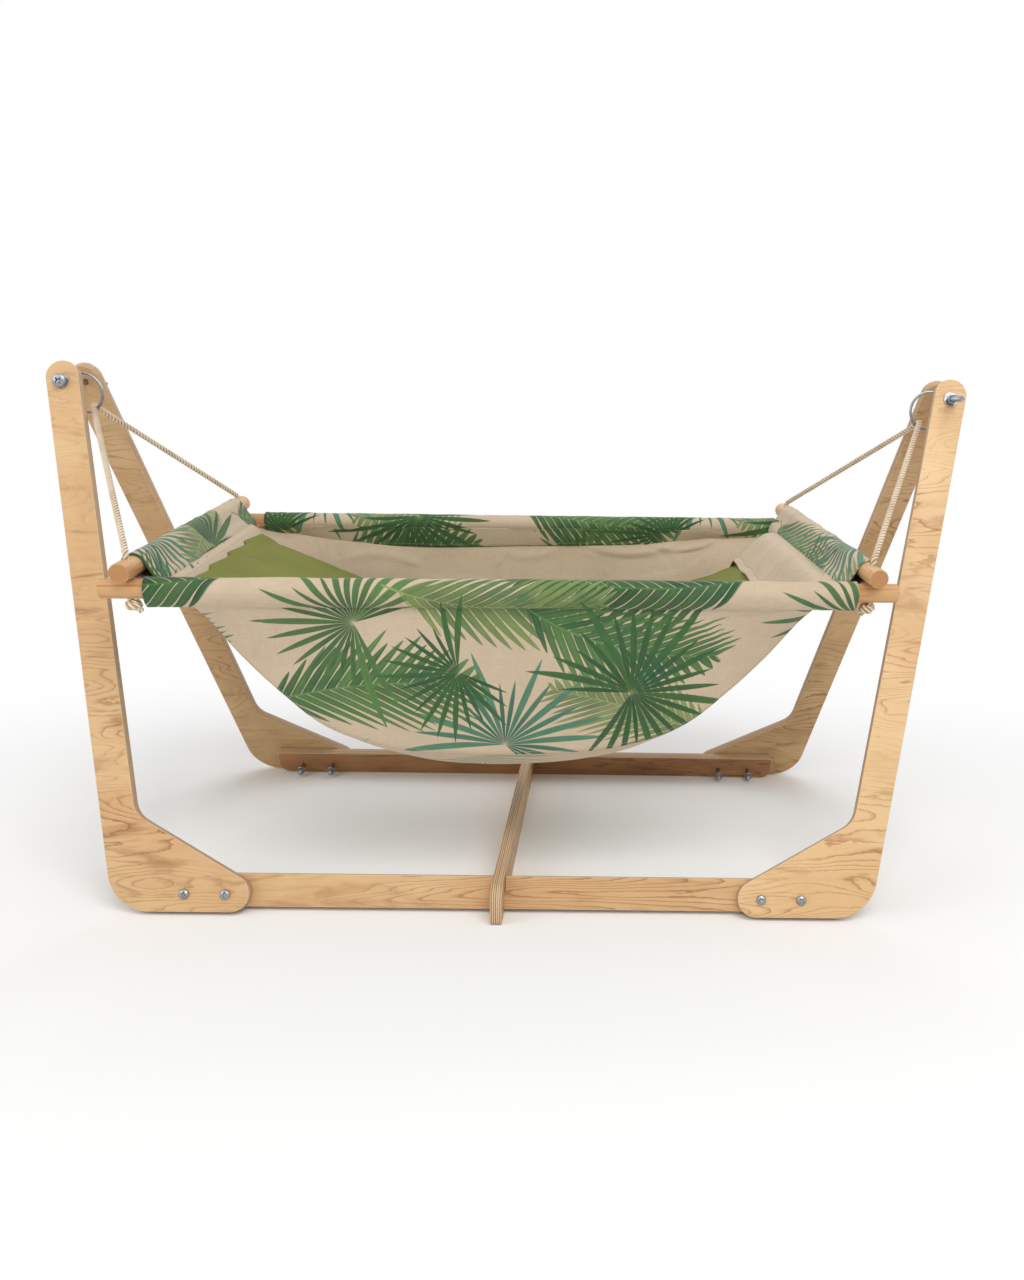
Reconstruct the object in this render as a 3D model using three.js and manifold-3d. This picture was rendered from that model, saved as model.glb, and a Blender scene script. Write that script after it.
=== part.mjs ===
// Baby hammock: a cloth sling on four dowels, hung by two ropes and two steel rings
// from an A-shaped plywood stand. Millimetres, +X to the right, +Y to the back, +Z up.
// The origin is on the floor, under the middle of the stand.
import * as THREE from 'three';
import { mergeVertices } from 'three/addons/utils/BufferGeometryUtils.js';
import Module from 'manifold-3d';

const wasm = await Module();
wasm.setup();

// Driving dimensions of the stand
const PLY = 15;                 // thickness of every plywood piece
const GAP = 0.3;                // clearance between pieces that touch
const LEAN = 21 * Math.PI / 180;    // lean of each half of the stand from the vertical
const SPLAY = 12.1 * Math.PI / 180; // sideways splay of each leg within its half
const PIVOT_HEIGHT = 685;       // height of the pivot bolts above the floor
const PIVOT_GAP = 53;           // space between the front and back legs at the pivot bolts
const LEG_WIDTH = 45;
const TOP_MARGIN = 5;           // how far the leg's round top is centred above its pivot hole
const HEEL_RADIUS = 60;
const BEND_RADIUS = 35;         // inside corner between leg and foot
const TOE_RADIUS = 24;
const FOOT_LENGTH = 176;        // from a foot's toe to its heel corner
const FOOT_SLOPE = 29.3 * Math.PI / 180;
const RAIL_INSET = 48.3;        // how far each end of a rail stops short of the heel corner
const RAIL_HEIGHT = 43;
const RAIL_LOW = 6.6;           // lower edge of a rail, measured up the leaning half
const RAIL_LOW_RADIUS = 18;
const RAIL_TOP_RADIUS = 4;
const BRACE_OVERHANG = 33.5;    // how far the brace reaches beyond the inner lower edge of the legs
const BRACE_HEIGHT = 50;
const BRACE_X = 4;              // the brace stands a little to the right of the middle
const BRACE_TOP_RADIUS = 27;
const BRACE_LOW_RADIUS = 6;
const NOTCH_CLEARANCE = 1.2;    // play on each side of the brace in the rail's notch

// How finely the cloth is divided, across and along
const BELT_SEGMENTS = [28, 10];
const PANEL_SEGMENTS = [26, 6];
const FLAP_SEGMENTS = [2, 8];

// Driving dimensions of the fasteners
const RAIL_BOLT = 6;
const RAIL_BOLT_HEAD = 12.5;
const RAIL_BOLT_HEAD_HEIGHT = 4;
const RAIL_BOLT_TOE = [84.2, 30.7];     // the two bolts of each leg, from the foot's toe
const RAIL_BOLT_V = 23;         // their height, measured up the leaning half
const RAIL_BOLT_REACH = 5;      // thread that shows beyond the nut
const RAIL_NUT = 10;            // across flats
const RAIL_NUT_HEIGHT = 5;
const RAIL_WASHER = 14;
const RAIL_WASHER_THICKNESS = 1.4;
const PIVOT_BOLT = 8;
const PIVOT_HEAD = 19;
const PIVOT_HEAD_HEIGHT = 6;
const PIVOT_NUT = 13;           // across flats
const PIVOT_NUT_HEIGHT = 6.5;
const PIVOT_WASHER = 21;
const PIVOT_WASHER_THICKNESS = 1.6;
const PIVOT_REACH = 38;         // thread that shows beyond the nut
const HOLE_PLAY = 0.6;          // how much wider than its bolt a hole is

// Driving dimensions of the sling
const DOWEL = 25;
const DOWEL_EDGE = 1;           // chamfer of a dowel's end
const LONG_DOWEL = 1010;
const SHORT_DOWEL = 568;
const LONG_END = 35;            // from a long dowel's end to its rope hole
const SHORT_END = 30;
const CORNER_X = LONG_DOWEL / 2 - LONG_END;     // rope holes, from the middle of the sling
const CORNER_Y = SHORT_DOWEL / 2 - SHORT_END;
const ROPE_REACH = 162;         // how far each pivot bolt lies outside the rope holes
const ROPE = 8;
const ROPE_PLAY = 1;            // how much wider than the rope its holes are
const RING_WIRE = 4;
const RING_OUTER = 60;
const RING_SLIDE = 12;          // how far each ring has slid along its bolt
const SLING_CENTRE = [3, -6.7, 460.5];    // the middle of the plane where the dowels touch
const SLING_TILT = 3.85 * Math.PI / 180;    // the back hangs higher than the front
const SLING_YAW = 3.7 * Math.PI / 180;      // the sling hangs turned in the stand
const SLEEVE_CLOTH = 1.8;       // sleeve wall, two layers of linen
const LONG_BARE = 20;           // bare dowel between a long sleeve's end and the rope hole
const SHORT_BARE = 19;
const SLEEVE_DEPTH = 24;        // from a long dowel's axis to the seam below its sleeve
const END_SLEEVE_DEPTH = 46;    // the same for a short dowel, whose sleeve is a wide pocket
const CLOTH = 3;                // printed cloth and lining, sewn together
const BELT_INSET = 41;          // how far each edge of the belt lies inside the long dowels
const PANEL_INSET = 80;         // from a rope hole to the end of a side panel's straight top edge
const BELT_SLOPE = 42.7 * Math.PI / 180;    // slope of the belt where it leaves a short sleeve
const BED_DEPTH = 250;          // seam below the dowels, at the middle of the sling
const BELLY = 55;               // how far the belt hangs below its seams at the middle
const BELLY_END = 0.85;         // the belt's ends are straight beyond this share of its half length
const BED_SHIFT = -9;           // the cloth hangs a little to the left
const PANEL_FLARE = 8;          // how much further each end of a panel reaches at the belt
const FOLD = 2.5;               // height of the soft folds in the side panels
const FOLDS = 3.5;              // their number
const FLAP = [22, 75];          // lengths of the left and right end flaps
const FLAP_CLOTH = 1.6;
const FLAP_INSET = 8;           // how far each side of a flap lies inside the belt's edge
const FLAP_LAP = 8;             // how far a flap laps over its sleeve, above the seam
const FLAP_SETTLE = 54;         // distance in which the right flap comes down onto the pad
const PAD_INSET = 71.5;         // from the rope holes to each end of the pad, before it slid
const PAD_SHIFT = -13;          // how far the pad has slid to the left
const PAD_SIDE = 7;             // how far each side of the pad lies inside the belt's edge
const PAD_THICKNESS = 45;
const PAD_REST = 1.8;           // upright clearance between the pad's ends and the belt
const PAD_SAG = 148;            // pad top below the dowels, at the middle
const PAD_RISE = 119;           // how far the pad's ends rise above its middle
const KNOT = 22;
const KNOT_LENGTH = 15;
const KNOT_WRAPS = 2;
const KNOT_DENT = 2.5;          // depth of the grooves between its wraps
const ROPE_TAIL = 6;            // rope that shows below each knot

// Colours
const birch = { color: 0xdcb37f, roughness: 0.55, metalness: 0 };
const beech = { color: 0xd9a066, roughness: 0.5, metalness: 0 };
const zinc = { color: 0x9aa0a3, roughness: 0.35, metalness: 1 };
const cotton = { color: 0xe3cfae, roughness: 0.9, metalness: 0 };
const print = { color: 0x7f9467, roughness: 0.9, metalness: 0 };
const linen = { color: 0xcdb89a, roughness: 0.92, metalness: 0 };
const olive = { color: 0x7a8a35, roughness: 0.85, metalness: 0 };

const object = new THREE.Group();

function addPiece(parent, name, geometry, finish) {
  const mesh = new THREE.Mesh(geometry, new THREE.MeshStandardMaterial(finish));
  mesh.name = name;
  parent.add(mesh);
  return mesh;
}

// A merged geometry as a solid for joining and cutting
function toSolid(geometry) {
  const bare = geometry.clone();
  bare.deleteAttribute('normal');
  bare.deleteAttribute('uv');
  const merged = mergeVertices(bare, 1e-4);
  return new wasm.Manifold(new wasm.Mesh({
    numProp: 3,
    vertProperties: new Float32Array(merged.attributes.position.array),
    triVerts: new Uint32Array(merged.index.array),
  }));
}

function toGeometry(solid) {
  const mesh = solid.getMesh();
  const geometry = new THREE.BufferGeometry();
  geometry.setAttribute('position', new THREE.BufferAttribute(new Float32Array(mesh.vertProperties), 3));
  geometry.setIndex(new THREE.BufferAttribute(new Uint32Array(mesh.triVerts), 1));
  geometry.computeVertexNormals();
  return geometry;
}

function cut(geometry, tools) {
  let solid = toSolid(geometry);
  for (const tool of tools) solid = solid.subtract(toSolid(tool));
  return toGeometry(solid);
}

function joined(geometries) {
  return toGeometry(geometries.map(toSolid).reduce((all, solid) => all.add(solid)));
}

// A closed outline through corners [x, y, radius], each rounded by an arc tangent to its two sides
function roundedShape(corners) {
  const shape = new THREE.Shape();
  corners.forEach(([x, y, radius], i) => {
    const corner = new THREE.Vector2(x, y);
    const [px, py] = corners[(i + corners.length - 1) % corners.length];
    const [nx, ny] = corners[(i + 1) % corners.length];
    const back = new THREE.Vector2(px, py).sub(corner).normalize();
    const ahead = new THREE.Vector2(nx, ny).sub(corner).normalize();
    const half = Math.acos(THREE.MathUtils.clamp(back.dot(ahead), -1, 1)) / 2;
    if (!radius) {
      if (i) shape.lineTo(x, y);
      else shape.moveTo(x, y);
      return;
    }
    const start = corner.clone().addScaledVector(back, radius / Math.tan(half));
    const middle = back.clone().add(ahead).normalize();
    const centre = corner.clone().addScaledVector(middle, radius / Math.sin(half));
    const end = corner.clone().addScaledVector(ahead, radius / Math.tan(half));
    if (i) shape.lineTo(start.x, start.y);
    else shape.moveTo(start.x, start.y);
    const from = Math.atan2(start.y - centre.y, start.x - centre.x);
    const to = Math.atan2(end.y - centre.y, end.x - centre.x);
    const clockwise = back.cross(ahead) > 0;
    shape.absarc(centre.x, centre.y, radius, from, to, clockwise);
  });
  shape.closePath();
  return shape;
}

// A board cut to a shape, from z = low to z = low + thickness
function board(shape, thickness, low = 0) {
  const options = { depth: thickness, bevelEnabled: false, curveSegments: 6 };
  return new THREE.ExtrudeGeometry(shape, options).translate(0, 0, low);
}

function roundHole(x, y, diameter) {
  const hole = new THREE.Path();
  hole.absarc(x, y, diameter / 2, 0, 2 * Math.PI, true);
  return hole;
}

// A turned piece from [radius, height] points, which start and end on the axis, standing along +Z
function turned(profile, segments = 24) {
  const points = profile.map(([r, h]) => new THREE.Vector2(r, h));
  return new THREE.LatheGeometry(points, segments).rotateX(Math.PI / 2);
}

// A washer or nut: a shape with a round bore, from z = 0 up
function bored(outline, bore, height) {
  outline.holes.push(roundHole(0, 0, bore));
  return new THREE.ExtrudeGeometry(outline, { depth: height, bevelEnabled: false, curveSegments: 6 });
}

function disc(diameter) {
  const shape = new THREE.Shape();
  shape.absarc(0, 0, diameter / 2, 0, 2 * Math.PI, false);
  return shape;
}

function hexagon(acrossFlats) {
  const shape = new THREE.Shape();
  const reach = acrossFlats / Math.sqrt(3);
  for (let side = 0; side < 6; side += 1) {
    const angle = side * Math.PI / 3;
    if (side) shape.lineTo(reach * Math.cos(angle), reach * Math.sin(angle));
    else shape.moveTo(reach, 0);
  }
  shape.closePath();
  return shape;
}

// A pan-head bolt along +Z: head above z = 0, shank below it
function panBolt(shank, length, head, headHeight) {
  return turned([
    [0, -length], [shank / 2 - 0.7, -length], [shank / 2, -length + 0.7], [shank / 2, 0], [head / 2, 0],
    [head / 2, headHeight * 0.45], [head * 0.43, headHeight * 0.8], [head * 0.28, headHeight],
    [0, headHeight],
  ], 12);
}

// STAND
// Each half of the stand is a group whose plane z = 0 is the inside face of its legs:
// x runs along the rail, y up the leaning half and z out of the stand.
const footY = PIVOT_GAP / 2 + PIVOT_HEIGHT * Math.tan(LEAN);
const front = new THREE.Group();
front.position.y = -footY;
front.rotation.x = Math.PI / 2 - LEAN;
const back = new THREE.Group();
back.rotation.z = Math.PI;
const backTurned = new THREE.Group();
backTurned.position.y = -footY;
backTurned.rotation.x = Math.PI / 2 - LEAN;
back.add(backTurned);
object.add(front, back);

// The pivot bolt lies along world Y, so it crosses a half at these heights up the half
const pivotV = (outward) => (PIVOT_HEIGHT - outward * Math.sin(LEAN)) / Math.cos(LEAN);
const pivotX = CORNER_X + ROPE_REACH;
// Where a leg's outer edge, drawn on, meets its lower edge
const heelX = pivotX - pivotV(PLY / 2) * Math.tan(SPLAY) + LEG_WIDTH / 2 / Math.cos(SPLAY);
const railBoltX = RAIL_BOLT_TOE.map((fromToe) => heelX - FOOT_LENGTH + fromToe);
const boltAlong = new THREE.Vector3(0, Math.sin(LEAN), -Math.cos(LEAN));

// Outline of the right leg of a half: an L with a round top, a big heel and a round toe
function legShape() {
  const along = new THREE.Vector2(Math.sin(SPLAY), Math.cos(SPLAY));
  const across = new THREE.Vector2(Math.cos(SPLAY), -Math.sin(SPLAY));
  const pivot = new THREE.Vector2(pivotX, pivotV(PLY / 2));
  const top = pivot.clone().addScaledVector(along, TOP_MARGIN + LEG_WIDTH / 2);
  const topOuter = top.clone().addScaledVector(across, LEG_WIDTH / 2);
  const topInner = top.clone().addScaledVector(across, -LEG_WIDTH / 2);
  const toeCentreX = heelX - FOOT_LENGTH + TOE_RADIUS;
  const wedgeX = toeCentreX - TOE_RADIUS / Math.tan(FOOT_SLOPE / 2);
  const slope = Math.tan(FOOT_SLOPE);
  const innerX = topInner.x - topInner.y * Math.tan(SPLAY);
  const bendV = (innerX - wedgeX) * slope / (1 - slope * Math.tan(SPLAY));
  const bendX = innerX + bendV * Math.tan(SPLAY);
  const endRadius = LEG_WIDTH / 2 - 0.05;
  return roundedShape([
    [wedgeX, 0, TOE_RADIUS], [heelX, 0, HEEL_RADIUS], [topOuter.x, topOuter.y, endRadius],
    [topInner.x, topInner.y, endRadius], [bendX, bendV, BEND_RADIUS],
  ]);
}

// The bore of a pivot bolt through a leaning leg or washer, centred at (x, v) on the board's mid-plane
function pivotDrill(x, v, z) {
  const radius = (PIVOT_BOLT + HOLE_PLAY) / 2;
  const drill = new THREE.CylinderGeometry(radius, radius, 4 * PLY, 12);
  drill.applyQuaternion(new THREE.Quaternion().setFromUnitVectors(new THREE.Vector3(0, 1, 0), boltAlong));
  return drill.translate(x, v, z);
}

function legGeometry(side) {
  const shape = legShape();
  for (const x of railBoltX) shape.holes.push(roundHole(x, RAIL_BOLT_V, RAIL_BOLT + HOLE_PLAY));
  const blank = board(shape, PLY);
  // The left leg is the same board turned over
  if (side < 0) blank.rotateY(Math.PI).translate(0, 0, PLY);
  return cut(blank, [pivotDrill(side * pivotX, pivotV(PLY / 2), PLY / 2)]);
}

const notchWidth = PLY + 2 * NOTCH_CLEARANCE;
const notchFloor = RAIL_LOW + RAIL_HEIGHT / 2;

// A rail lies on the inside faces of its legs, with a notch for the brace from above
function railGeometry(braceX) {
  const half = heelX - RAIL_INSET;
  const high = RAIL_LOW + RAIL_HEIGHT;
  const left = braceX - notchWidth / 2;
  const right = braceX + notchWidth / 2;
  const shape = roundedShape([
    [-half, RAIL_LOW, RAIL_LOW_RADIUS], [half, RAIL_LOW, RAIL_LOW_RADIUS], [half, high, RAIL_TOP_RADIUS],
    [right, high, 0], [right, notchFloor, 0], [left, notchFloor, 0], [left, high, 0],
    [-half, high, RAIL_TOP_RADIUS],
  ]);
  for (const x of railBoltX) {
    shape.holes.push(roundHole(x, RAIL_BOLT_V, RAIL_BOLT + HOLE_PLAY));
    shape.holes.push(roundHole(-x, RAIL_BOLT_V, RAIL_BOLT + HOLE_PLAY));
  }
  return board(shape, PLY, -PLY - GAP);
}

// Rail bolts of one half: heads outside, washers and nuts on the inside face of the rail
function addRailFasteners(half, label) {
  const seat = -2 * PLY - 2 * GAP;
  const nutSeat = seat - RAIL_WASHER_THICKNESS - GAP;
  const length = PLY + GAP - nutSeat + RAIL_NUT_HEIGHT + RAIL_BOLT_REACH;
  const places = [...railBoltX.map((x) => -x), ...railBoltX].sort((a, b) => a - b);
  places.forEach((x, i) => {
    const bolt = panBolt(RAIL_BOLT, length, RAIL_BOLT_HEAD, RAIL_BOLT_HEAD_HEIGHT);
    const washer = bored(disc(RAIL_WASHER), RAIL_BOLT + HOLE_PLAY, RAIL_WASHER_THICKNESS);
    const nut = bored(hexagon(RAIL_NUT), RAIL_BOLT + HOLE_PLAY, RAIL_NUT_HEIGHT);
    const tag = `${label}_${i + 1}`;
    addPiece(half, `rail_bolt_${tag}`, bolt, zinc).position.set(x, RAIL_BOLT_V, PLY + GAP);
    addPiece(half, `rail_washer_${tag}`, washer, zinc)
      .position.set(x, RAIL_BOLT_V, seat - RAIL_WASHER_THICKNESS);
    addPiece(half, `rail_nut_${tag}`, nut, zinc).position.set(x, RAIL_BOLT_V, nutSeat - RAIL_NUT_HEIGHT);
  });
}

for (const [label, half, turn] of [['front', front, 1], ['back', backTurned, -1]]) {
  // The back half is the front half turned about the vertical, so its left leg is on the other side
  addPiece(half, `leg_${label}_right`, legGeometry(turn), birch);
  addPiece(half, `leg_${label}_left`, legGeometry(-turn), birch);
  addPiece(half, `rail_${label}`, railGeometry(turn * BRACE_X), birch);
  addRailFasteners(half, label);
}

// The brace stands on edge across the stand. Its outline is drawn in world Y and Z.
function braceGeometry() {
  const half = footY + BRACE_OVERHANG;
  const toWorld = (v, outward, side) => [
    side * (footY - v * Math.sin(LEAN) + outward * Math.cos(LEAN)),
    v * Math.cos(LEAN) + outward * Math.sin(LEAN),
    0,
  ];
  const slot = (side) => {
    const low = [-PLY - 2 * GAP, 0];
    const walls = low.map((outward) => {
      const root = toWorld(notchFloor + GAP, outward, side);
      const mouthV = -outward * Math.tan(LEAN);
      return [toWorld(mouthV, outward, side), root];
    });
    return [walls[1][0], walls[1][1], walls[0][1], walls[0][0]];
  };
  const frontSlot = slot(-1);
  const backSlot = slot(1).reverse();
  const shape = roundedShape([
    [-half, 0, BRACE_LOW_RADIUS], ...frontSlot, ...backSlot, [half, 0, BRACE_LOW_RADIUS],
    [half, BRACE_HEIGHT, BRACE_TOP_RADIUS], [-half, BRACE_HEIGHT, BRACE_TOP_RADIUS],
  ]);
  return board(shape, PLY, -PLY / 2);
}

const brace = addPiece(object, 'cross_brace', braceGeometry(), birch);
// Drawn x becomes world Y, drawn y becomes world Z
brace.quaternion.setFromRotationMatrix(new THREE.Matrix4().makeBasis(
  new THREE.Vector3(0, 1, 0), new THREE.Vector3(0, 0, 1), new THREE.Vector3(1, 0, 0)));
brace.position.x = BRACE_X;

// Pivot bolts: the left one has its head in front, the right one its nut
const legOuterY = footY - pivotV(PLY) * Math.sin(LEAN) + PLY * Math.cos(LEAN);
const washerFace = legOuterY + (GAP + PIVOT_WASHER_THICKNESS) / Math.cos(LEAN) + GAP;
const headSeat = washerFace + PIVOT_HEAD / 2 * Math.tan(LEAN);
const nutReach = PIVOT_NUT / Math.sqrt(3);
const nutSeat = washerFace + nutReach * Math.tan(LEAN);
const pivotLength = headSeat + nutSeat + PIVOT_NUT_HEIGHT + PIVOT_REACH;

for (const [label, side] of [['left', -1], ['right', 1]]) {
  const end = new THREE.Group();
  end.position.set(side * pivotX, 0, PIVOT_HEIGHT);
  // Local +Z of the group points out of the head: to the front on the left, to the back on the right
  end.rotation.x = -side * Math.PI / 2;
  object.add(end);
  const bolt = panBolt(PIVOT_BOLT, pivotLength, PIVOT_HEAD, PIVOT_HEAD_HEIGHT).translate(0, 0, headSeat);
  addPiece(end, `pivot_bolt_${label}`, bolt, zinc);
  const nut = bored(hexagon(PIVOT_NUT), PIVOT_BOLT + HOLE_PLAY, PIVOT_NUT_HEIGHT)
    .translate(0, 0, -nutSeat - PIVOT_NUT_HEIGHT);
  addPiece(end, `pivot_nut_${label}`, nut, zinc);
}

// Pivot washers lie flat on the outside faces of the legs, so their bores are drilled along the bolt
function pivotWasher(x) {
  const blank = board(disc(PIVOT_WASHER), PIVOT_WASHER_THICKNESS);
  const middle = PLY + GAP + PIVOT_WASHER_THICKNESS / 2;
  return cut(blank, [pivotDrill(0, 0, PIVOT_WASHER_THICKNESS / 2)]).translate(x, pivotV(middle), PLY + GAP);
}

for (const [label, half, turn] of [['front', front, 1], ['back', backTurned, -1]]) {
  addPiece(half, `pivot_washer_${label}_left`, pivotWasher(-turn * pivotX), zinc);
  addPiece(half, `pivot_washer_${label}_right`, pivotWasher(turn * pivotX), zinc);
}

// SLING
// The sling is drawn about the plane where the long dowels touch the short ones.
const sling = new THREE.Group();
sling.position.set(...SLING_CENTRE);
sling.rotation.set(SLING_TILT, 0, SLING_YAW, 'ZXY');
object.add(sling);
sling.updateMatrixWorld(true);
const toSling = (x, y, z) => sling.worldToLocal(new THREE.Vector3(x, y, z));

function dowelGeometry(length, holes) {
  const r = DOWEL / 2;
  const half = length / 2;
  const rod = turned([
    [0, -half], [r - DOWEL_EDGE, -half], [r, -half + DOWEL_EDGE], [r, half - DOWEL_EDGE],
    [r - DOWEL_EDGE, half], [0, half],
  ], 24).rotateY(Math.PI / 2);
  const drills = [-holes, holes].map((x) => new THREE.CylinderGeometry(
    ...Array(2).fill((ROPE + ROPE_PLAY) / 2), 2 * DOWEL, 12).rotateX(Math.PI / 2).translate(x, 0, 0));
  return cut(rod, drills);
}

const layer = DOWEL / 2 + GAP / 2;
for (const [label, side] of [['front', -1], ['back', 1]]) {
  addPiece(sling, `long_dowel_${label}`, dowelGeometry(LONG_DOWEL, CORNER_X), beech)
    .position.set(0, side * CORNER_Y, -layer);
}
for (const [label, side] of [['left', -1], ['right', 1]]) {
  const dowel = addPiece(sling, `short_dowel_${label}`, dowelGeometry(SHORT_DOWEL, CORNER_Y), beech);
  dowel.position.set(side * CORNER_X, 0, layer);
  dowel.rotation.z = Math.PI / 2;
}

// Rings hang on the bolts and lean towards the sling, along the pull of the rope
const holeTop = DOWEL + GAP / 2;
const ringRadius = (RING_OUTER - RING_WIRE) / 2;
const ringCentres = {};
const pulls = {};
for (const [label, side] of [['left', -1], ['right', 1]]) {
  const corners = [-1, 1]
    .map((sy) => sling.localToWorld(new THREE.Vector3(side * CORNER_X, sy * CORNER_Y, holeTop)));
  const middle = corners[0].clone().add(corners[1]).multiplyScalar(0.5);
  const pull = new THREE.Vector3(middle.x - side * pivotX, 0, middle.z - PIVOT_HEIGHT).normalize();
  const hang = ringRadius - RING_WIRE / 2 - PIVOT_BOLT / 2 - GAP;
  const centre = new THREE.Vector3(side * pivotX, side * RING_SLIDE, PIVOT_HEIGHT);
  centre.addScaledVector(pull, hang);
  const torus = new THREE.TorusGeometry(ringRadius, RING_WIRE / 2, 6, 30);
  const ring = addPiece(object, `ring_${label}`, torus, zinc);
  ring.position.copy(centre);
  ring.rotation.x = Math.PI / 2;
  ringCentres[label] = centre;
  pulls[label] = pull;
}

// A curve through chosen stations, sampled at the stations themselves
class StationCurve extends THREE.Curve {
  constructor(stations) {
    super();
    this.stations = stations;
  }

  getUtoTmapping(u) {
    return u;
  }

  getPoint(t, target = new THREE.Vector3()) {
    const place = THREE.MathUtils.clamp(t, 0, 1) * (this.stations.length - 1);
    const i = Math.min(Math.floor(place), this.stations.length - 2);
    return target.lerpVectors(this.stations[i], this.stations[i + 1], place - i);
  }
}

function circleSection(diameter, sides) {
  const shape = new THREE.Shape();
  for (let i = 0; i < sides; i += 1) {
    const angle = 2 * Math.PI * (i + 0.5) / sides;
    const x = diameter / 2 * Math.cos(angle);
    const y = diameter / 2 * Math.sin(angle);
    if (i) shape.lineTo(x, y);
    else shape.moveTo(x, y);
  }
  shape.closePath();
  return shape;
}

// Points of an arc that turns a path from direction a to direction b around a centre
function arcPoints(centre, a, b, radius, turns) {
  const angle = a.angleTo(b);
  const axis = a.clone().cross(b).normalize();
  const start = axis.clone().cross(a).normalize().multiplyScalar(-radius);
  const points = [];
  for (let i = 0; i <= turns; i += 1) {
    points.push(centre.clone().add(start.clone().applyAxisAngle(axis, angle * i / turns)));
  }
  return points;
}

// Half of a rope's route: up through a corner's hole, over its rim and straight to the ring
function ropeHalf(side, sy, crown, crownDirection, eye) {
  const up = new THREE.Vector3(0, 0, 1);
  const rim = new THREE.Vector3(side * CORNER_X, sy * CORNER_Y, holeTop);
  const below = new THREE.Vector3(rim.x, rim.y, -DOWEL - GAP - KNOT_LENGTH - ROPE_TAIL);
  let direction = eye.clone().sub(rim).normalize();
  let rimArc = [];
  let eyeArc = [];
  // The straight fall touches both arcs, so its direction settles in a few rounds
  for (let round = 0; round < 6; round += 1) {
    const inward = direction.clone().projectOnPlane(up).normalize();
    rimArc = arcPoints(rim.clone().addScaledVector(inward, ROPE), up, direction, ROPE, 4);
    eyeArc = arcPoints(crown, direction, crownDirection, ROPE / 2 + RING_WIRE / 2 + GAP, 4);
    direction = eyeArc[0].clone().sub(rimArc.at(-1)).normalize();
  }
  const fall = [1, 2, 3].map((k) => rimArc.at(-1).clone().lerp(eyeArc[0], k / 4));
  return [below, ...rimArc, ...fall, ...eyeArc];
}

function ropeGeometry(label, side) {
  const wire = ringCentres[label].clone().addScaledVector(pulls[label], ringRadius);
  const crown = toSling(wire.x, wire.y, wire.z);
  const eyeWorld = wire.clone().addScaledVector(pulls[label], -(ROPE + RING_WIRE) / 2 - GAP);
  const eye = toSling(eyeWorld.x, eyeWorld.y, eyeWorld.z);
  const acrossWorld = new THREE.Vector3(wire.x, wire.y + 1, wire.z);
  const across = toSling(acrossWorld.x, acrossWorld.y, acrossWorld.z).sub(crown);
  const frontHalf = ropeHalf(side, -1, crown, across, eye);
  const backHalf = ropeHalf(side, 1, crown, across.clone().negate(), eye).reverse().slice(1);
  const stations = [...frontHalf, ...backHalf];
  return new THREE.ExtrudeGeometry(circleSection(ROPE, 8), {
    steps: stations.length - 1, extrudePath: new StationCurve(stations), bevelEnabled: false,
  });
}

// A stopper knot hanging below z = 0: the rope's wraps round itself
function knotGeometry() {
  const profile = [[0, 0]];
  for (let wrap = 0; wrap < KNOT_WRAPS; wrap += 1) {
    for (let step = 0; step < 4; step += 1) {
      const angle = Math.PI * step / 4;
      const swell = KNOT / 2 - KNOT_DENT * (1 - Math.sin(angle));
      profile.push([swell, -KNOT_LENGTH * (wrap + (1 - Math.cos(angle)) / 2) / KNOT_WRAPS]);
    }
  }
  profile.push([KNOT / 2 - KNOT_DENT, -KNOT_LENGTH], [0, -KNOT_LENGTH]);
  return turned(profile.reverse(), 10);
}

// Each end has one rope, from knot to knot, looped through its ring
for (const [label, side] of [['left', -1], ['right', 1]]) {
  const knots = [-1, 1].map((sy) => knotGeometry()
    .translate(side * CORNER_X, sy * CORNER_Y, -DOWEL - 3 * GAP / 2));
  addPiece(sling, `rope_${label}`, joined([ropeGeometry(label, side), ...knots]), cotton);
}

// A sewn sleeve around a dowel: a drop-shaped tube whose tail is the seam.
// The shape lies in a plane across the dowel, with the tail towards the angle given.
function sleeveGeometry(length, tailAngle, depth) {
  const inner = DOWEL / 2 + GAP;
  const outer = inner + SLEEVE_CLOTH;
  const tangent = Math.acos(outer / depth);
  const shape = new THREE.Shape();
  shape.moveTo(depth * Math.cos(tailAngle), depth * Math.sin(tailAngle));
  shape.lineTo(outer * Math.cos(tailAngle + tangent), outer * Math.sin(tailAngle + tangent));
  shape.absarc(0, 0, outer, tailAngle + tangent, tailAngle - tangent + 2 * Math.PI, false);
  shape.closePath();
  shape.holes.push(roundHole(0, 0, 2 * inner));
  return new THREE.ExtrudeGeometry(shape, { depth: length, bevelEnabled: false, curveSegments: 12 })
    .translate(0, 0, -length / 2);
}

// Outline of the belt from the side, as [x, z]: from a short dowel's sleeve to the middle of the bed
const SEAM_CURVE = [
  [1, 0], [0.902, -0.154], [0.791, -0.404], [0.681, -0.617], [0.551, -0.821], [0.353, -0.955], [0, -1],
];
const seamDirection = BELT_SLOPE - Math.PI;
const tailX = CORNER_X + (END_SLEEVE_DEPTH + 1.5 * GAP) * Math.cos(seamDirection);
const tailZ = layer + (END_SLEEVE_DEPTH + 1.5 * GAP) * Math.sin(seamDirection);
const seamPoints = SEAM_CURVE
  .map(([x, z]) => new THREE.Vector3(x * tailX, 0, tailZ + z * (BED_DEPTH + tailZ)));
const seamSpline = new THREE.CatmullRomCurve3([
  ...seamPoints.map((p) => new THREE.Vector3(-p.x, 0, p.z)),
  ...seamPoints.slice(0, -1).reverse(),
], false, 'centripetal');

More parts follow.
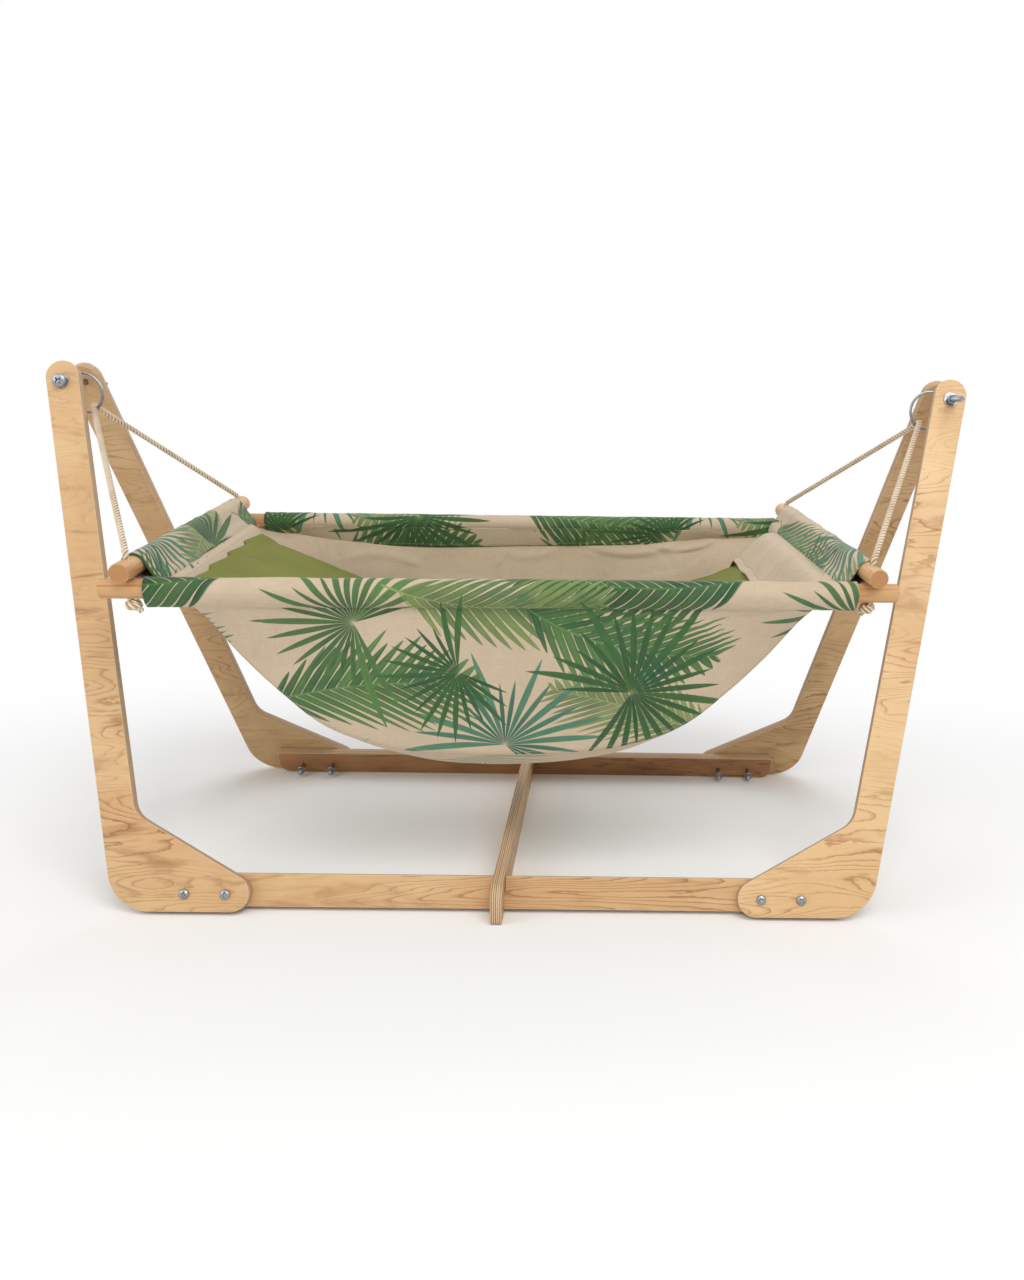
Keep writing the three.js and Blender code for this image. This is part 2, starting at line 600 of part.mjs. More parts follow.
// The seam between belt and side panel, s from 0 at the left end to 1 at the right
function seam(s) {
  const p = seamSpline.getPointAt(s);
  const share = p.x / tailX;
  return new THREE.Vector3(p.x + BED_SHIFT * (1 - share * share), 0, p.z);
}

function seamParameter(x) {
  let low = 0;
  let high = 1;
  for (let i = 0; i < 24; i += 1) {
    const middle = (low + high) / 2;
    if (seam(middle).x < x) low = middle;
    else high = middle;
  }
  return low;
}

// How far the belt hangs outside the seam line, at s along it and t across from -1 to 1
function belly(s, t) {
  const share = seam(s).x / (BELLY_END * tailX);
  return BELLY * Math.pow(Math.max(0, 1 - share * share), 1.5) * (1 - Math.pow(Math.abs(t), 4));
}

// A closed solid on a surface(u, v), with u and v from 0 to 1, thickened square to it or along an axis
function sheetSolid(surface, across, along, thickness, axis = null) {
  const positions = [];
  const index = [];
  const step = 1e-3;
  for (const side of [1, -1]) {
    for (let i = 0; i <= across; i += 1) {
      for (let j = 0; j <= along; j += 1) {
        const [u, v] = [i / across, j / along];
        const du = surface(Math.min(u + step, 1), v).sub(surface(Math.max(u - step, 0), v));
        const dv = surface(u, Math.min(v + step, 1)).sub(surface(u, Math.max(v - step, 0)));
        const square = du.cross(dv).normalize();
        const out = axis ? axis.clone().multiplyScalar(Math.sign(square.dot(axis))) : square;
        const p = surface(u, v).addScaledVector(out, side * thickness / 2);
        positions.push(p.x, p.y, p.z);
      }
    }
  }
  const row = along + 1;
  const sheet = (across + 1) * row;
  const quad = (a, b, c, d) => index.push(a, b, c, a, c, d);
  for (let i = 0; i < across; i += 1) {
    for (let j = 0; j < along; j += 1) {
      const a = i * row + j;
      quad(a, a + row, a + row + 1, a + 1);
      quad(sheet + a, sheet + a + 1, sheet + a + row + 1, sheet + a + row);
    }
  }
  for (let i = 0; i < across; i += 1) {
    const a = i * row;
    const b = a + along;
    quad(a, sheet + a, sheet + a + row, a + row);
    quad(b, b + row, sheet + b + row, sheet + b);
  }
  for (let j = 0; j < along; j += 1) {
    const b = across * row + j;
    quad(j, j + 1, sheet + j + 1, sheet + j);
    quad(b, sheet + b, sheet + b + 1, b + 1);
  }
  const geometry = new THREE.BufferGeometry();
  geometry.setAttribute('position', new THREE.Float32BufferAttribute(positions, 3));
  geometry.setIndex(index);
  geometry.computeVertexNormals();
  return geometry;
}

// The belt: the strip that makes both ends and the bottom of the bed
const beltWidth = 2 * (CORNER_Y - BELT_INSET);
const beltSurface = (u, v) => {
  const t = 2 * v - 1;
  const p = seam(u);
  const ahead = seam(Math.min(u + 0.01, 1)).sub(seam(Math.max(u - 0.01, 0))).normalize();
  const out = new THREE.Vector3(ahead.z, 0, -ahead.x).multiplyScalar(belly(u, t));
  return p.add(out).setY(t * (beltWidth - CLOTH - GAP) / 2);
};
addPiece(sling, 'bed_belt', sheetSolid(beltSurface, ...BELT_SEGMENTS, CLOTH), print);

// Sleeves: the long ones have their seams below, the short ones towards the bed
const longSleeve = 2 * (CORNER_X - LONG_BARE);
const shortSleeve = 2 * (CORNER_Y - SHORT_BARE);
for (const [label, side] of [['front', -1], ['back', 1]]) {
  const tube = sleeveGeometry(longSleeve, -Math.PI / 2, SLEEVE_DEPTH);
  const sleeve = addPiece(sling, `sleeve_${label}`, tube, print);
  sleeve.quaternion.setFromRotationMatrix(new THREE.Matrix4().makeBasis(
    new THREE.Vector3(0, 1, 0), new THREE.Vector3(0, 0, 1), new THREE.Vector3(1, 0, 0)));
  sleeve.position.set(0, side * CORNER_Y, -layer);
}
for (const [label, side] of [['left', -1], ['right', 1]]) {
  const pocket = sleeveGeometry(shortSleeve, seamDirection, END_SLEEVE_DEPTH);
  const sleeve = addPiece(sling, `sleeve_${label}`, pocket, print);
  sleeve.quaternion.setFromRotationMatrix(new THREE.Matrix4().makeBasis(
    new THREE.Vector3(side, 0, 0), new THREE.Vector3(0, 0, 1), new THREE.Vector3(0, -side, 0)));
  sleeve.position.set(side * CORNER_X, 0, layer);
}

// Side panels: half-moons between a long sleeve's seam and the belt's edge.
// u runs along the panel and v from its top edge down to the belt.
const acrossSling = new THREE.Vector3(0, 1, 0);
const panelTopZ = -layer - SLEEVE_DEPTH - GAP;
const panelTop = 2 * (CORNER_X - PANEL_INSET);
const panelFrom = seamParameter(-panelTop / 2 - PANEL_FLARE);
const panelTo = seamParameter(panelTop / 2 + PANEL_FLARE);
function panelSurface(side) {
  return (u, v) => {
    const along = side < 0 ? u : 1 - u;
    const low = seam(THREE.MathUtils.lerp(panelFrom, panelTo, along));
    low.y = side * (beltWidth + CLOTH + GAP) / 2;
    const high = new THREE.Vector3((along - 0.5) * panelTop, side * CORNER_Y, panelTopZ);
    const fold = FOLD * Math.sin(v * Math.PI) * Math.sin(along * FOLDS * 2 * Math.PI);
    const p = high.lerp(low, v);
    return p.setY(p.y + side * fold);
  };
}
for (const [label, side] of [['front', -1], ['back', 1]]) {
  const panel = sheetSolid(panelSurface(side), ...PANEL_SEGMENTS, CLOTH, acrossSling);
  addPiece(sling, `side_panel_${label}`, panel, print);
}

// The pad: a foam mattress that bridges the belt, pressed thin where it rests on it
const padLength = 2 * (CORNER_X - PAD_INSET);
const padWidth = beltWidth - 2 * PAD_SIDE;
const padTop = (x) => -PAD_SAG + PAD_RISE * (2 * x / padLength) ** 2;
function padGeometry() {
  const rows = 20;
  const sides = 16;
  const positions = [];
  const index = [];
  for (let i = 0; i <= rows; i += 1) {
    const angle = Math.PI * (i / rows - 0.5);
    const share = Math.sin(angle) * 0.35 + (2 * i / rows - 1) * 0.65;
    const x = share * padLength / 2 + PAD_SHIFT;
    const end = Math.pow(Math.max(0, 1 - Math.pow(Math.abs(share), 18)), 0.5);
    const top = padTop(x);
    const floor = Math.max(top - PAD_THICKNESS, seam(seamParameter(x)).z + CLOTH / 2 + PAD_REST);
    const half = (top - floor) / 2 * Math.max(end, 0.1);
    const middle = floor + half;
    for (let j = 0; j < sides; j += 1) {
      const around = 2 * Math.PI * j / sides;
      const squareness = (value) => Math.sign(value) * Math.pow(Math.abs(value), 0.45);
      const y = squareness(Math.cos(around)) * padWidth / 2 * (0.985 + 0.015 * end);
      positions.push(x, y, middle + squareness(Math.sin(around)) * half);
    }
  }
  for (let i = 0; i < rows; i += 1) {
    for (let j = 0; j < sides; j += 1) {
      const a = i * sides + j;
      const b = i * sides + (j + 1) % sides;
      index.push(a, b, b + sides, a, b + sides, a + sides);
    }
  }
  for (let j = 1; j < sides - 1; j += 1) {
    const last = rows * sides;
    index.push(0, j + 1, j, last, last + j, last + j + 1);
  }
  const geometry = new THREE.BufferGeometry();
  geometry.setAttribute('position', new THREE.Float32BufferAttribute(positions, 3));
  geometry.setIndex(index);
  geometry.computeVertexNormals();
  return geometry;
}
addPiece(sling, 'mattress', padGeometry(), olive);

// End flaps: plain cloth sewn on over a short sleeve's seam. The left one lies on the belt, where
// the pad has slid against it, and the right one comes down onto the pad.
const flapWidth = beltWidth - 2 * FLAP_INSET;
const sleeveWidth = DOWEL / 2 + GAP + SLEEVE_CLOTH;
const sleeveTaper = Math.tan(Math.asin(sleeveWidth / END_SLEEVE_DEPTH));

// Both start a little short of an end sleeve's seam, so far above its tail
function flapRoot(above) {
  const along = END_SLEEVE_DEPTH - FLAP_LAP;
  const rise = FLAP_LAP * sleeveTaper + above;
  return [
    CORNER_X + along * Math.cos(seamDirection) + rise * Math.sin(seamDirection),
    layer + along * Math.sin(seamDirection) - rise * Math.cos(seamDirection),
  ];
}
const leftRoot = flapRoot(FLAP_CLOTH / 2 + GAP);
const rightRoot = flapRoot(FLAP_CLOTH / 2);

// Each flap's section as [x, z], v from 0 at its sleeve to 1 at its hem
const leftX = leftRoot[0] - FLAP[0] * Math.cos(BELT_SLOPE);
const leftRise = ((CLOTH + FLAP_CLOTH) / 2 + 2 * GAP) / Math.cos(BELT_SLOPE);
const leftEnd = [leftX, seam(seamParameter(-leftX)).z + leftRise];
const leftSection = (v) => [0, 1].map((k) => THREE.MathUtils.lerp(leftRoot[k], leftEnd[k], v));
const rightSection = (v) => {
  const x = rightRoot[0] - FLAP[1] * v;
  const settle = THREE.MathUtils.smoothstep(FLAP[1] * v, 0, FLAP_SETTLE);
  return [x, THREE.MathUtils.lerp(rightRoot[1], padTop(x) + FLAP_CLOTH + GAP, settle)];
};
for (const [label, side, section] of [['left', -1, leftSection], ['right', 1, rightSection]]) {
  const surface = (u, v) => {
    const [x, z] = section(v);
    return new THREE.Vector3(side * x, (u - 0.5) * flapWidth * side, z);
  };
  addPiece(sling, `end_flap_${label}`, sheetSolid(surface, ...FLAP_SEGMENTS, FLAP_CLOTH), linen);
}

export default object;
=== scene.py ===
import logging
import math
from dataclasses import dataclass
from enum import Enum
from typing import Optional, Sequence, Union

import bpy
import numpy as np
from mathutils import Matrix, Vector
from mathutils.geometry import delaunay_2d_cdt


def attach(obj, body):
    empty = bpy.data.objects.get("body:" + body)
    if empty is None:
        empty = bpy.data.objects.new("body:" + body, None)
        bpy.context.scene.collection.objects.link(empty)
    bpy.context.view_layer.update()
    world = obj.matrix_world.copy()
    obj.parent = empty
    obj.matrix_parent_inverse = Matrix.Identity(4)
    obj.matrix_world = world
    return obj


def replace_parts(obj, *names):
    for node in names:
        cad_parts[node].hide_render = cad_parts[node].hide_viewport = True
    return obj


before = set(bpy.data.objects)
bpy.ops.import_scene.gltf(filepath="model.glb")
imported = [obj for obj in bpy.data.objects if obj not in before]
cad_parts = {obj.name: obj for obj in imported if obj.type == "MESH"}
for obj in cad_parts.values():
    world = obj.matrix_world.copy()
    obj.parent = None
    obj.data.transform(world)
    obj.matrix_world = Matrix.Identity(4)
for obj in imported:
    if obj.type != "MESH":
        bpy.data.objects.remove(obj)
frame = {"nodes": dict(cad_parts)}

logging.basicConfig(level=logging.INFO, format="%(name)s: %(message)s")
log = logging.getLogger("hammock")
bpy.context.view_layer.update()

Array = np.ndarray
Socket = bpy.types.NodeSocket
Value = Union[float, tuple, Socket]
TAU = 2 * math.pi


class Half(Enum):
    """The two leaning halves of the stand, and the two long sides of the sling."""

    FRONT = "front"
    BACK = "back"

    @property
    def way(self) -> int:
        """-1 towards the front, 1 towards the back."""
        return -1 if self is Half.FRONT else 1


class End(Enum):
    """The two ends of the hammock."""

    LEFT = "left"
    RIGHT = "right"

    @property
    def way(self) -> int:
        """-1 towards the left, 1 towards the right."""
        return -1 if self is End.LEFT else 1


class Motif(Enum):
    """The leaf forms of the printed cloth."""

    FROND = "frond"
    SPRAY = "spray"


def display(red: int, green: int, blue: int) -> tuple[float, float, float, float]:
    """A linear colour from display values of 0 to 255.

    Args:
        red: Red, 0 to 255.
        green: Green, 0 to 255.
        blue: Blue, 0 to 255.

    Returns:
        Linear red, green and blue, and an alpha of 1.
    """
    shares = np.array([red, green, blue]) / 255
    linear = np.where(shares <= 0.04045, shares / 12.92, ((shares + 0.055) / 1.055) ** 2.4)
    return (*(float(c) for c in linear), 1.0)


def smooth(values: Array, low: float, high: float) -> Array:
    """0 below low, 1 above high, and the cubic 3t² − 2t³ between them."""
    t = np.clip((values - low) / (high - low), 0, 1)
    return t * t * (3 - 2 * t)


def unit(vectors: Array) -> Array:
    """Vectors along the last axis, each made one metre long."""
    return vectors / np.linalg.norm(vectors, axis=-1, keepdims=True)


def angles(count: int) -> Array:
    """That many angles, evenly spread round a full turn."""
    return np.arange(count) * TAU / count


def lengths(line: Array) -> Array:
    """The length of a path from its start to each of its points."""
    return np.concatenate([[0], np.cumsum(np.linalg.norm(np.diff(line, axis=0), axis=1))])


def sampled(at: Array, length: Array, values: Array) -> Array:
    """Values along a path, (n, k), read between its points at other lengths of it."""
    return np.stack([np.interp(at, length, column) for column in values.T], 1)


def ripples(u: Array, v: Array, waves: int, length: tuple[float, float], seed: int) -> Array:
    """Soft unevenness: a sum of plane waves with random directions, lengths and phases.

    Args:
        u: First coordinate of each point, in metres.
        v: Second coordinate of each point, in metres.
        waves: How many plane waves are added.
        length: The shortest and longest wavelength, in metres.
        seed: Fixes the random choice.

    Returns:
        Heights with a root mean square of about 0.7, of the same shape as u.
    """
    rng = np.random.default_rng(seed)
    turn = rng.uniform(0, math.pi, waves)
    number = TAU / rng.uniform(*length, waves)
    phase = rng.uniform(0, TAU, waves)
    across = u[..., None] * np.cos(turn) + v[..., None] * np.sin(turn)
    return np.cos(across * number + phase).sum(-1) / math.sqrt(waves)


@dataclass(frozen=True)
class Place:
    """Where a drawing lies: world = origin + drawn x, y and z along the three rows of axes."""

    origin: Array
    axes: Array

    def world(self, points: Array) -> Array:
        """Drawn points, (..., 3), in the row frame."""
        return self.origin + points @ self.axes

    def local(self, points: Array) -> Array:
        """Points of the row frame in the drawing's own coordinates."""
        return (points - self.origin) @ self.axes.T


WORLD = Place(np.zeros(3), np.eye(3))


@dataclass
class Skin:
    """A mesh under construction.

    Attributes:
        points: (n, 3) places.
        faces: Groups of faces, each (k, sides) point numbers.
        cloth: For each group, (k, sides, 2) coordinates of its corners on the flat material.
    """

    points: Array
    faces: list[Array]
    cloth: list[Array]

    @staticmethod
    def joined(skins: Sequence["Skin"]) -> "Skin":
        """Several skins as one, each still closed by itself.

        Args:
            skins: The skins to join.

        Returns:
            One skin with all their points and faces.
        """
        starts = np.cumsum([0] + [len(s.points) for s in skins])
        return Skin(
            np.concatenate([s.points for s in skins]),
            [group + start for s, start in zip(skins, starts) for group in s.faces],
            [group for s in skins for group in s.cloth],
        )


def grid_skin(
    points: Array,
    cloth: Optional[Array] = None,
    closed: tuple[bool, bool] = (False, False),
    capped: bool = False,
    flip: bool = False,
) -> Skin:
    """The quads of a grid of points, joined to itself where it is closed.

    Args:
        points: (rows, columns, 3) places.
        cloth: Flat coordinates, with one more row or column than points where it is closed.
        closed: Whether the last row joins the first, and the last column the first.
        capped: Whether a fan to a middle point closes the first and the last row.
        flip: Turns the faces over. Unturned they face row direction × column direction.

    Returns:
        The skin.
    """
    rows, columns = points.shape[:2]
    i, j = np.meshgrid(
        np.arange(rows - 1 + closed[0]), np.arange(columns - 1 + closed[1]), indexing="ij"
    )
    step = np.array([[0, 0], [1, 0], [1, 1], [0, 1]])
    if flip:
        step = step[::-1]
    at = np.stack([i.ravel()[:, None] + step[:, 0], j.ravel()[:, None] + step[:, 1]])
    faces = (at[0] % rows) * columns + at[1] % columns
    if cloth is None:
        cloth = np.stack(
            np.meshgrid(np.linspace(0, 1, rows + 1), np.linspace(0, 1, columns + 1), indexing="ij"), -1
        )
    corners = cloth[np.minimum(at[0], cloth.shape[0] - 1), np.minimum(at[1], cloth.shape[1] - 1)]
    flat = points.reshape(-1, 3)
    groups, uvs = [faces], [corners]
    if capped:
        ring = np.arange(columns)
        after = (ring + 1) % columns
        for k, (row, turn) in enumerate(((0, 1), (rows - 1, -1))):
            middle = np.full(columns, len(flat) + k)
            fan = np.stack([middle, ring + row * columns, after + row * columns], 1)
            if (turn < 0) != flip:
                fan = fan[:, ::-1]
            groups.append(fan)
            uvs.append(np.repeat(cloth[row, :columns].reshape(-1, 1, 2), 3, 1))
        flat = np.concatenate([flat, points[0].mean(0)[None], points[-1].mean(0)[None]])
    return Skin(flat, groups, uvs)


def shell_skin(outer: Array, inner: Array, cloth: Array) -> Skin:
    """A sheet with two faces and a closed rim. The outer face's points come first.

    Args:
        outer: (rows, columns, 3) places of the face towards row direction × column direction.
        inner: The same for the other face.
        cloth: (rows, columns, 2) flat coordinates of both.

    Returns:
        The skin, closed.
    """
    rows, columns = outer.shape[:2]
    count = rows * columns
    top = grid_skin(outer, cloth)
    low = grid_skin(inner, cloth, flip=True)
    number = np.arange(count).reshape(rows, columns)
    border = np.concatenate(
        [number[:, 0], number[-1, 1:], number[-2::-1, -1], number[0, -2:0:-1]]
    )
    after = np.roll(border, -1)
    rim = np.stack([border, border + count, after + count, after], 1)
    flat = cloth.reshape(-1, 2)
    uv = np.stack([flat[border], flat[border], flat[after], flat[after]], 1)
    return Skin(
        np.concatenate([top.points, low.points]),
        [top.faces[0], low.faces[0] + count, rim],
        [top.cloth[0], low.cloth[0], uv],
    )


def mesh_points(mesh: bpy.types.Mesh) -> Array:
    """A mesh's points as an (n, 3) array.

    Args:
        mesh: The mesh to read.

    Returns:
        Its points, in metres.
    """
    values = np.empty(len(mesh.vertices) * 3, np.float32)
    mesh.vertices.foreach_get("co", values)
    return values.reshape(-1, 3).astype(float)


def set_points(mesh: bpy.types.Mesh, points: Array) -> None:
    """Moves a mesh's points to (n, 3) places."""
    mesh.vertices.foreach_set("co", points.astype(np.float32).ravel())


def set_field(mesh: bpy.types.Mesh, key: str, values: Array) -> None:
    """Adds a point attribute of (n,) numbers or (n, 3) vectors.

    Args:
        mesh: The mesh to add to.
        key: The attribute's name.
        values: A row for each point.
    """
    kind, field = ("FLOAT", "value") if values.ndim == 1 else ("FLOAT_VECTOR", "vector")
    attribute = mesh.attributes.new(key, kind, "POINT")
    attribute.data.foreach_set(field, values.astype(np.float32).ravel())


def shade(mesh: bpy.types.Mesh, sharp: Optional[float] = None) -> None:
    """Smooth shading, with edges sharp beyond an angle in degrees.

    Args:
        mesh: The mesh to shade.
        sharp: The angle, or None where no edge is sharp.
    """
    mesh.polygons.foreach_set("use_smooth", np.ones(len(mesh.polygons), bool))
    if sharp is not None:
        mesh.set_sharp_from_angle(angle=math.radians(sharp))


def applied(obj: bpy.types.Object) -> bpy.types.Mesh:
    """A copy of an object's mesh with its modifiers applied."""
    return bpy.data.meshes.new_from_object(obj.evaluated_get(bpy.context.evaluated_depsgraph_get()))


def link_object(name: str, data: bpy.types.ID) -> bpy.types.Object:
    """A new object in the scene.

    Args:
        name: The object's name.
        data: Its mesh, lamp or camera.

    Returns:
        The linked object.
    """
    obj = bpy.data.objects.new(name, data)
    bpy.context.scene.collection.objects.link(obj)
    return obj


def make_piece(
    name: str,
    skin: Skin,
    material: bpy.types.Material,
    body: str,
    nodes: Sequence[str] = (),
    place: Place = WORLD,
    fields: Optional[dict[str, Array]] = None,
    sharp: Optional[float] = None,
) -> bpy.types.Object:
    """Puts a skin into a Blender object that rides on a body.

    Args:
        name: Piece name.
        skin: The mesh, drawn in the coordinates of place.
        material: Its finish.
        body: Body that carries it.
        nodes: CAD nodes that it stands for.
        place: Where the drawing lies.
        fields: Point attributes, (n,) numbers or (n, 3) vectors.
        sharp: Angle in degrees beyond which an edge stays sharp.

    Returns:
        The object.
    """
    mesh = bpy.data.meshes.new(name)
    points = place.world(skin.points)
    mesh.vertices.add(len(points))
    set_points(mesh, points)
    corners = np.concatenate([group.ravel() for group in skin.faces])
    sides = np.concatenate([np.full(len(group), group.shape[1]) for group in skin.faces])
    mesh.loops.add(len(corners))
    mesh.loops.foreach_set("vertex_index", corners.astype(np.int32))
    mesh.polygons.add(len(sides))
    starts = np.concatenate([[0], np.cumsum(sides)[:-1]])
    mesh.polygons.foreach_set("loop_start", starts.astype(np.int32))
    mesh.update(calc_edges=True)
    layer = mesh.uv_layers.new(name="cloth")
    uv = np.concatenate([group.reshape(-1, 2) for group in skin.cloth])
    layer.data.foreach_set("uv", uv.astype(np.float32).ravel())
    for key, values in (fields or {}).items():
        set_field(mesh, key, values)
    mesh.materials.append(material)
    shade(mesh, sharp)
    obj = link_object(name, mesh)
    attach(obj, body)
    if nodes:
        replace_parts(obj, *nodes)
    log.info("%s: %d faces", name, len(sides))
    return obj


# NODE TREES


class Graph:
    """Writes the nodes of one tree. A value may be a number, a tuple or another node's output."""

    def __init__(self, tree: bpy.types.NodeTree) -> None:
        """Starts on an empty tree."""
        self.tree = tree

    def add(self, kind: str, **settings: object) -> bpy.types.Node:
        """A new node of that kind with its settings.

        Args:
            kind: The node's type, without its first words.
            settings: Its properties by name.

        Returns:
            The node.
        """
        node = self.tree.nodes.new("ShaderNode" + kind)
        for key, value in settings.items():
            setattr(node, key, value)
        return node

    def put(self, value: Value, socket: Socket) -> None:
        """Links a socket to an output, or sets its number or colour.

        Args:
            value: What the socket gets.
            socket: An input of a node.
        """
        if isinstance(value, Socket):
            self.tree.links.new(value, socket)
        else:
            socket.default_value = value

    def math(self, operation: str, *values: Value, clamp: bool = False) -> Socket:
        """A Math node's result.

        Args:
            operation: The node's operation.
            values: Its inputs, in order.
            clamp: Whether the result stays within 0 and 1.

        Returns:
            The result.
        """
        node = self.add("Math", operation=operation, use_clamp=clamp)
        for value, socket in zip(values, node.inputs):
            self.put(value, socket)
        return node.outputs[0]

    def times(self, one: Value, other: Value, clamp: bool = False) -> Socket:
        """A product."""
        return self.math("MULTIPLY", one, other, clamp=clamp)

    def plus(self, one: Value, other: Value) -> Socket:
        """A sum."""
        return self.math("ADD", one, other)

    def minus(self, one: Value, other: Value) -> Socket:
        """A difference."""
        return self.math("SUBTRACT", one, other)

    def ratio(self, one: Value, other: Value) -> Socket:
        """A quotient."""
        return self.math("DIVIDE", one, other)

    def linear(self, value: Value, slope: Value, start: Value, clamp: bool = False) -> Socket:
        """value · slope + start."""
        return self.math("MULTIPLY_ADD", value, slope, start, clamp=clamp)

    def off_middle(self, value: Value) -> Socket:
        """How far a value's fraction is from a half."""
        return self.math("ABSOLUTE", self.minus(self.math("FRACT", value), 0.5))

    def vector(self, operation: str, *values: Value) -> Socket:
        """A Vector Math node's result, its Value for a length.

        Args:
            operation: The node's operation.
            values: Its inputs, in order.

        Returns:
            The result.
        """
        node = self.add("VectorMath", operation=operation)
        for value, socket in zip(values, node.inputs):
            self.put(value, socket)
        return node.outputs["Value" if operation in ("LENGTH", "DOT_PRODUCT") else "Vector"]

    def split(self, value: Value) -> tuple[Socket, Socket, Socket]:
        """The three numbers of a vector.

        Args:
            value: The vector.

        Returns:
            Its x, y and z.
        """
        node = self.add("SeparateXYZ")
        self.put(value, node.inputs[0])
        return tuple(node.outputs)

    def combine(self, x: Value = 0.0, y: Value = 0.0, z: Value = 0.0) -> Socket:
        """A vector of three numbers.

        Args:
            x: First number.
            y: Second number.
            z: Third number.

        Returns:
            The vector.
        """
        node = self.add("CombineXYZ")
        for value, socket in zip((x, y, z), node.inputs):
            self.put(value, socket)
        return node.outputs[0]

    def mix(self, share: Value, low: Value, high: Value, blend: str = "MIX") -> Socket:
        """A colour between two colours.

        Args:
            share: 0 for the first colour and 1 for the second.
            low: First colour.
            high: Second colour.
            blend: How they are mixed.

        Returns:
            The colour.
        """
        node = self.add("Mix", data_type="RGBA", blend_type=blend)
        for value, key in ((share, 0), (low, 6), (high, 7)):
            self.put(value, node.inputs[key])
        return node.outputs[2]

    def span(
        self, value: Value, low: Value, high: Value, to_low: Value = 0.0, to_high: Value = 1.0
    ) -> Socket:
        """A value mapped smoothly from one span to another.

        Args:
            value: The value to map.
            low: Start of its span.
            high: End of its span.
            to_low: Start of the new span.
            to_high: End of the new span.

        Returns:
            The mapped value.
        """
        node = self.add("MapRange", interpolation_type="SMOOTHSTEP")
        for item, socket in zip((value, low, high, to_low, to_high), node.inputs):
            self.put(item, socket)
        return node.outputs[0]

    def noise(
        self, vector: Value, scale: float, detail: float = 2.0, rough: float = 0.5, bend: float = 0.0
    ) -> Socket:
        """Noise of about 0 to 1 at a vector.

        Args:
            vector: Where the noise is read.
            scale: Its cells in a unit.
            detail: Number of finer layers.
            rough: Strength of the finer layers.
            bend: Strength of its distortion.

        Returns:
            The noise.
        """
        node = self.add("TexNoise", noise_dimensions="3D")
        self.put(vector, node.inputs["Vector"])
        for key, value in (("Scale", scale), ("Detail", detail), ("Roughness", rough), ("Distortion", bend)):
            self.put(value, node.inputs[key])
        return node.outputs["Fac"]

    def streak(self, across: Value, fine: float, along: Value, coarse: float, seed: Value) -> Socket:
        """Noise drawn out along a blade: fine is its scale across it, coarse its scale along it."""
        return self.noise(self.combine(self.times(across, fine), self.times(along, coarse), seed), 1.0, 2.0)

    def attribute(self, name: str, output: str) -> Socket:
        """A mesh attribute, by its Fac or Vector output."""
        return self.add("Attribute", attribute_name=name).outputs[output]

    def chance(self, a: Value, b: Value = 0.0) -> Socket:
        """A random number of 0 to 1 for each pair of whole numbers.

        Args:
            a: First whole number.
            b: Second whole number.

        Returns:
            The random number.
        """
        node = self.add("TexWhiteNoise", noise_dimensions="2D")
        self.put(self.combine(a, b), node.inputs["Vector"])
        return node.outputs["Value"]

    def use(self, group: bpy.types.NodeTree, **values: Value) -> bpy.types.Node:
        """A node that stands for a group, with its inputs by name.

        Args:
            group: The group.
            values: Its inputs by name.

        Returns:
            The node.
        """
        node = self.add("Group", node_tree=group)
        for key, value in values.items():
            self.put(value, node.inputs[key])
        return node

    def scaled(self, value: Value, x: float, y: float, z: float) -> Socket:
        """A vector times three numbers."""
        return self.vector("MULTIPLY", value, (x, y, z))


def new_group(name: str, inputs: dict[str, object], outputs: Sequence[str]) -> tuple[Graph, Socket, Socket]:
    """An empty shader node group.

    Args:
        name: Its name.
        inputs: Socket names with a number for a float, a triple for a vector.
        outputs: Names of the float outputs.

    Returns:
        Its graph, and its input and output nodes.
    """
    tree = bpy.data.node_groups.new(name, "ShaderNodeTree")
    for key, value in inputs.items():
        kind = "NodeSocketVector" if isinstance(value, tuple) else "NodeSocketFloat"
        socket = tree.interface.new_socket(key, in_out="INPUT", socket_type=kind)
        socket.default_value = value
    for key in outputs:
        tree.interface.new_socket(key, in_out="OUTPUT", socket_type="NodeSocketFloat")
    return Graph(tree), tree.nodes.new("NodeGroupInput"), tree.nodes.new("NodeGroupOutput")


MOTIF_INPUTS = {
    "Vector": (0.0, 0.0, 0.0), "Repeat": (0.6, 0.5, 1.0), "Root": (0.0, 0.0, 0.0), "Middle": (0.0, 0.0, 0.0),
    "Turn": 0.0,
}


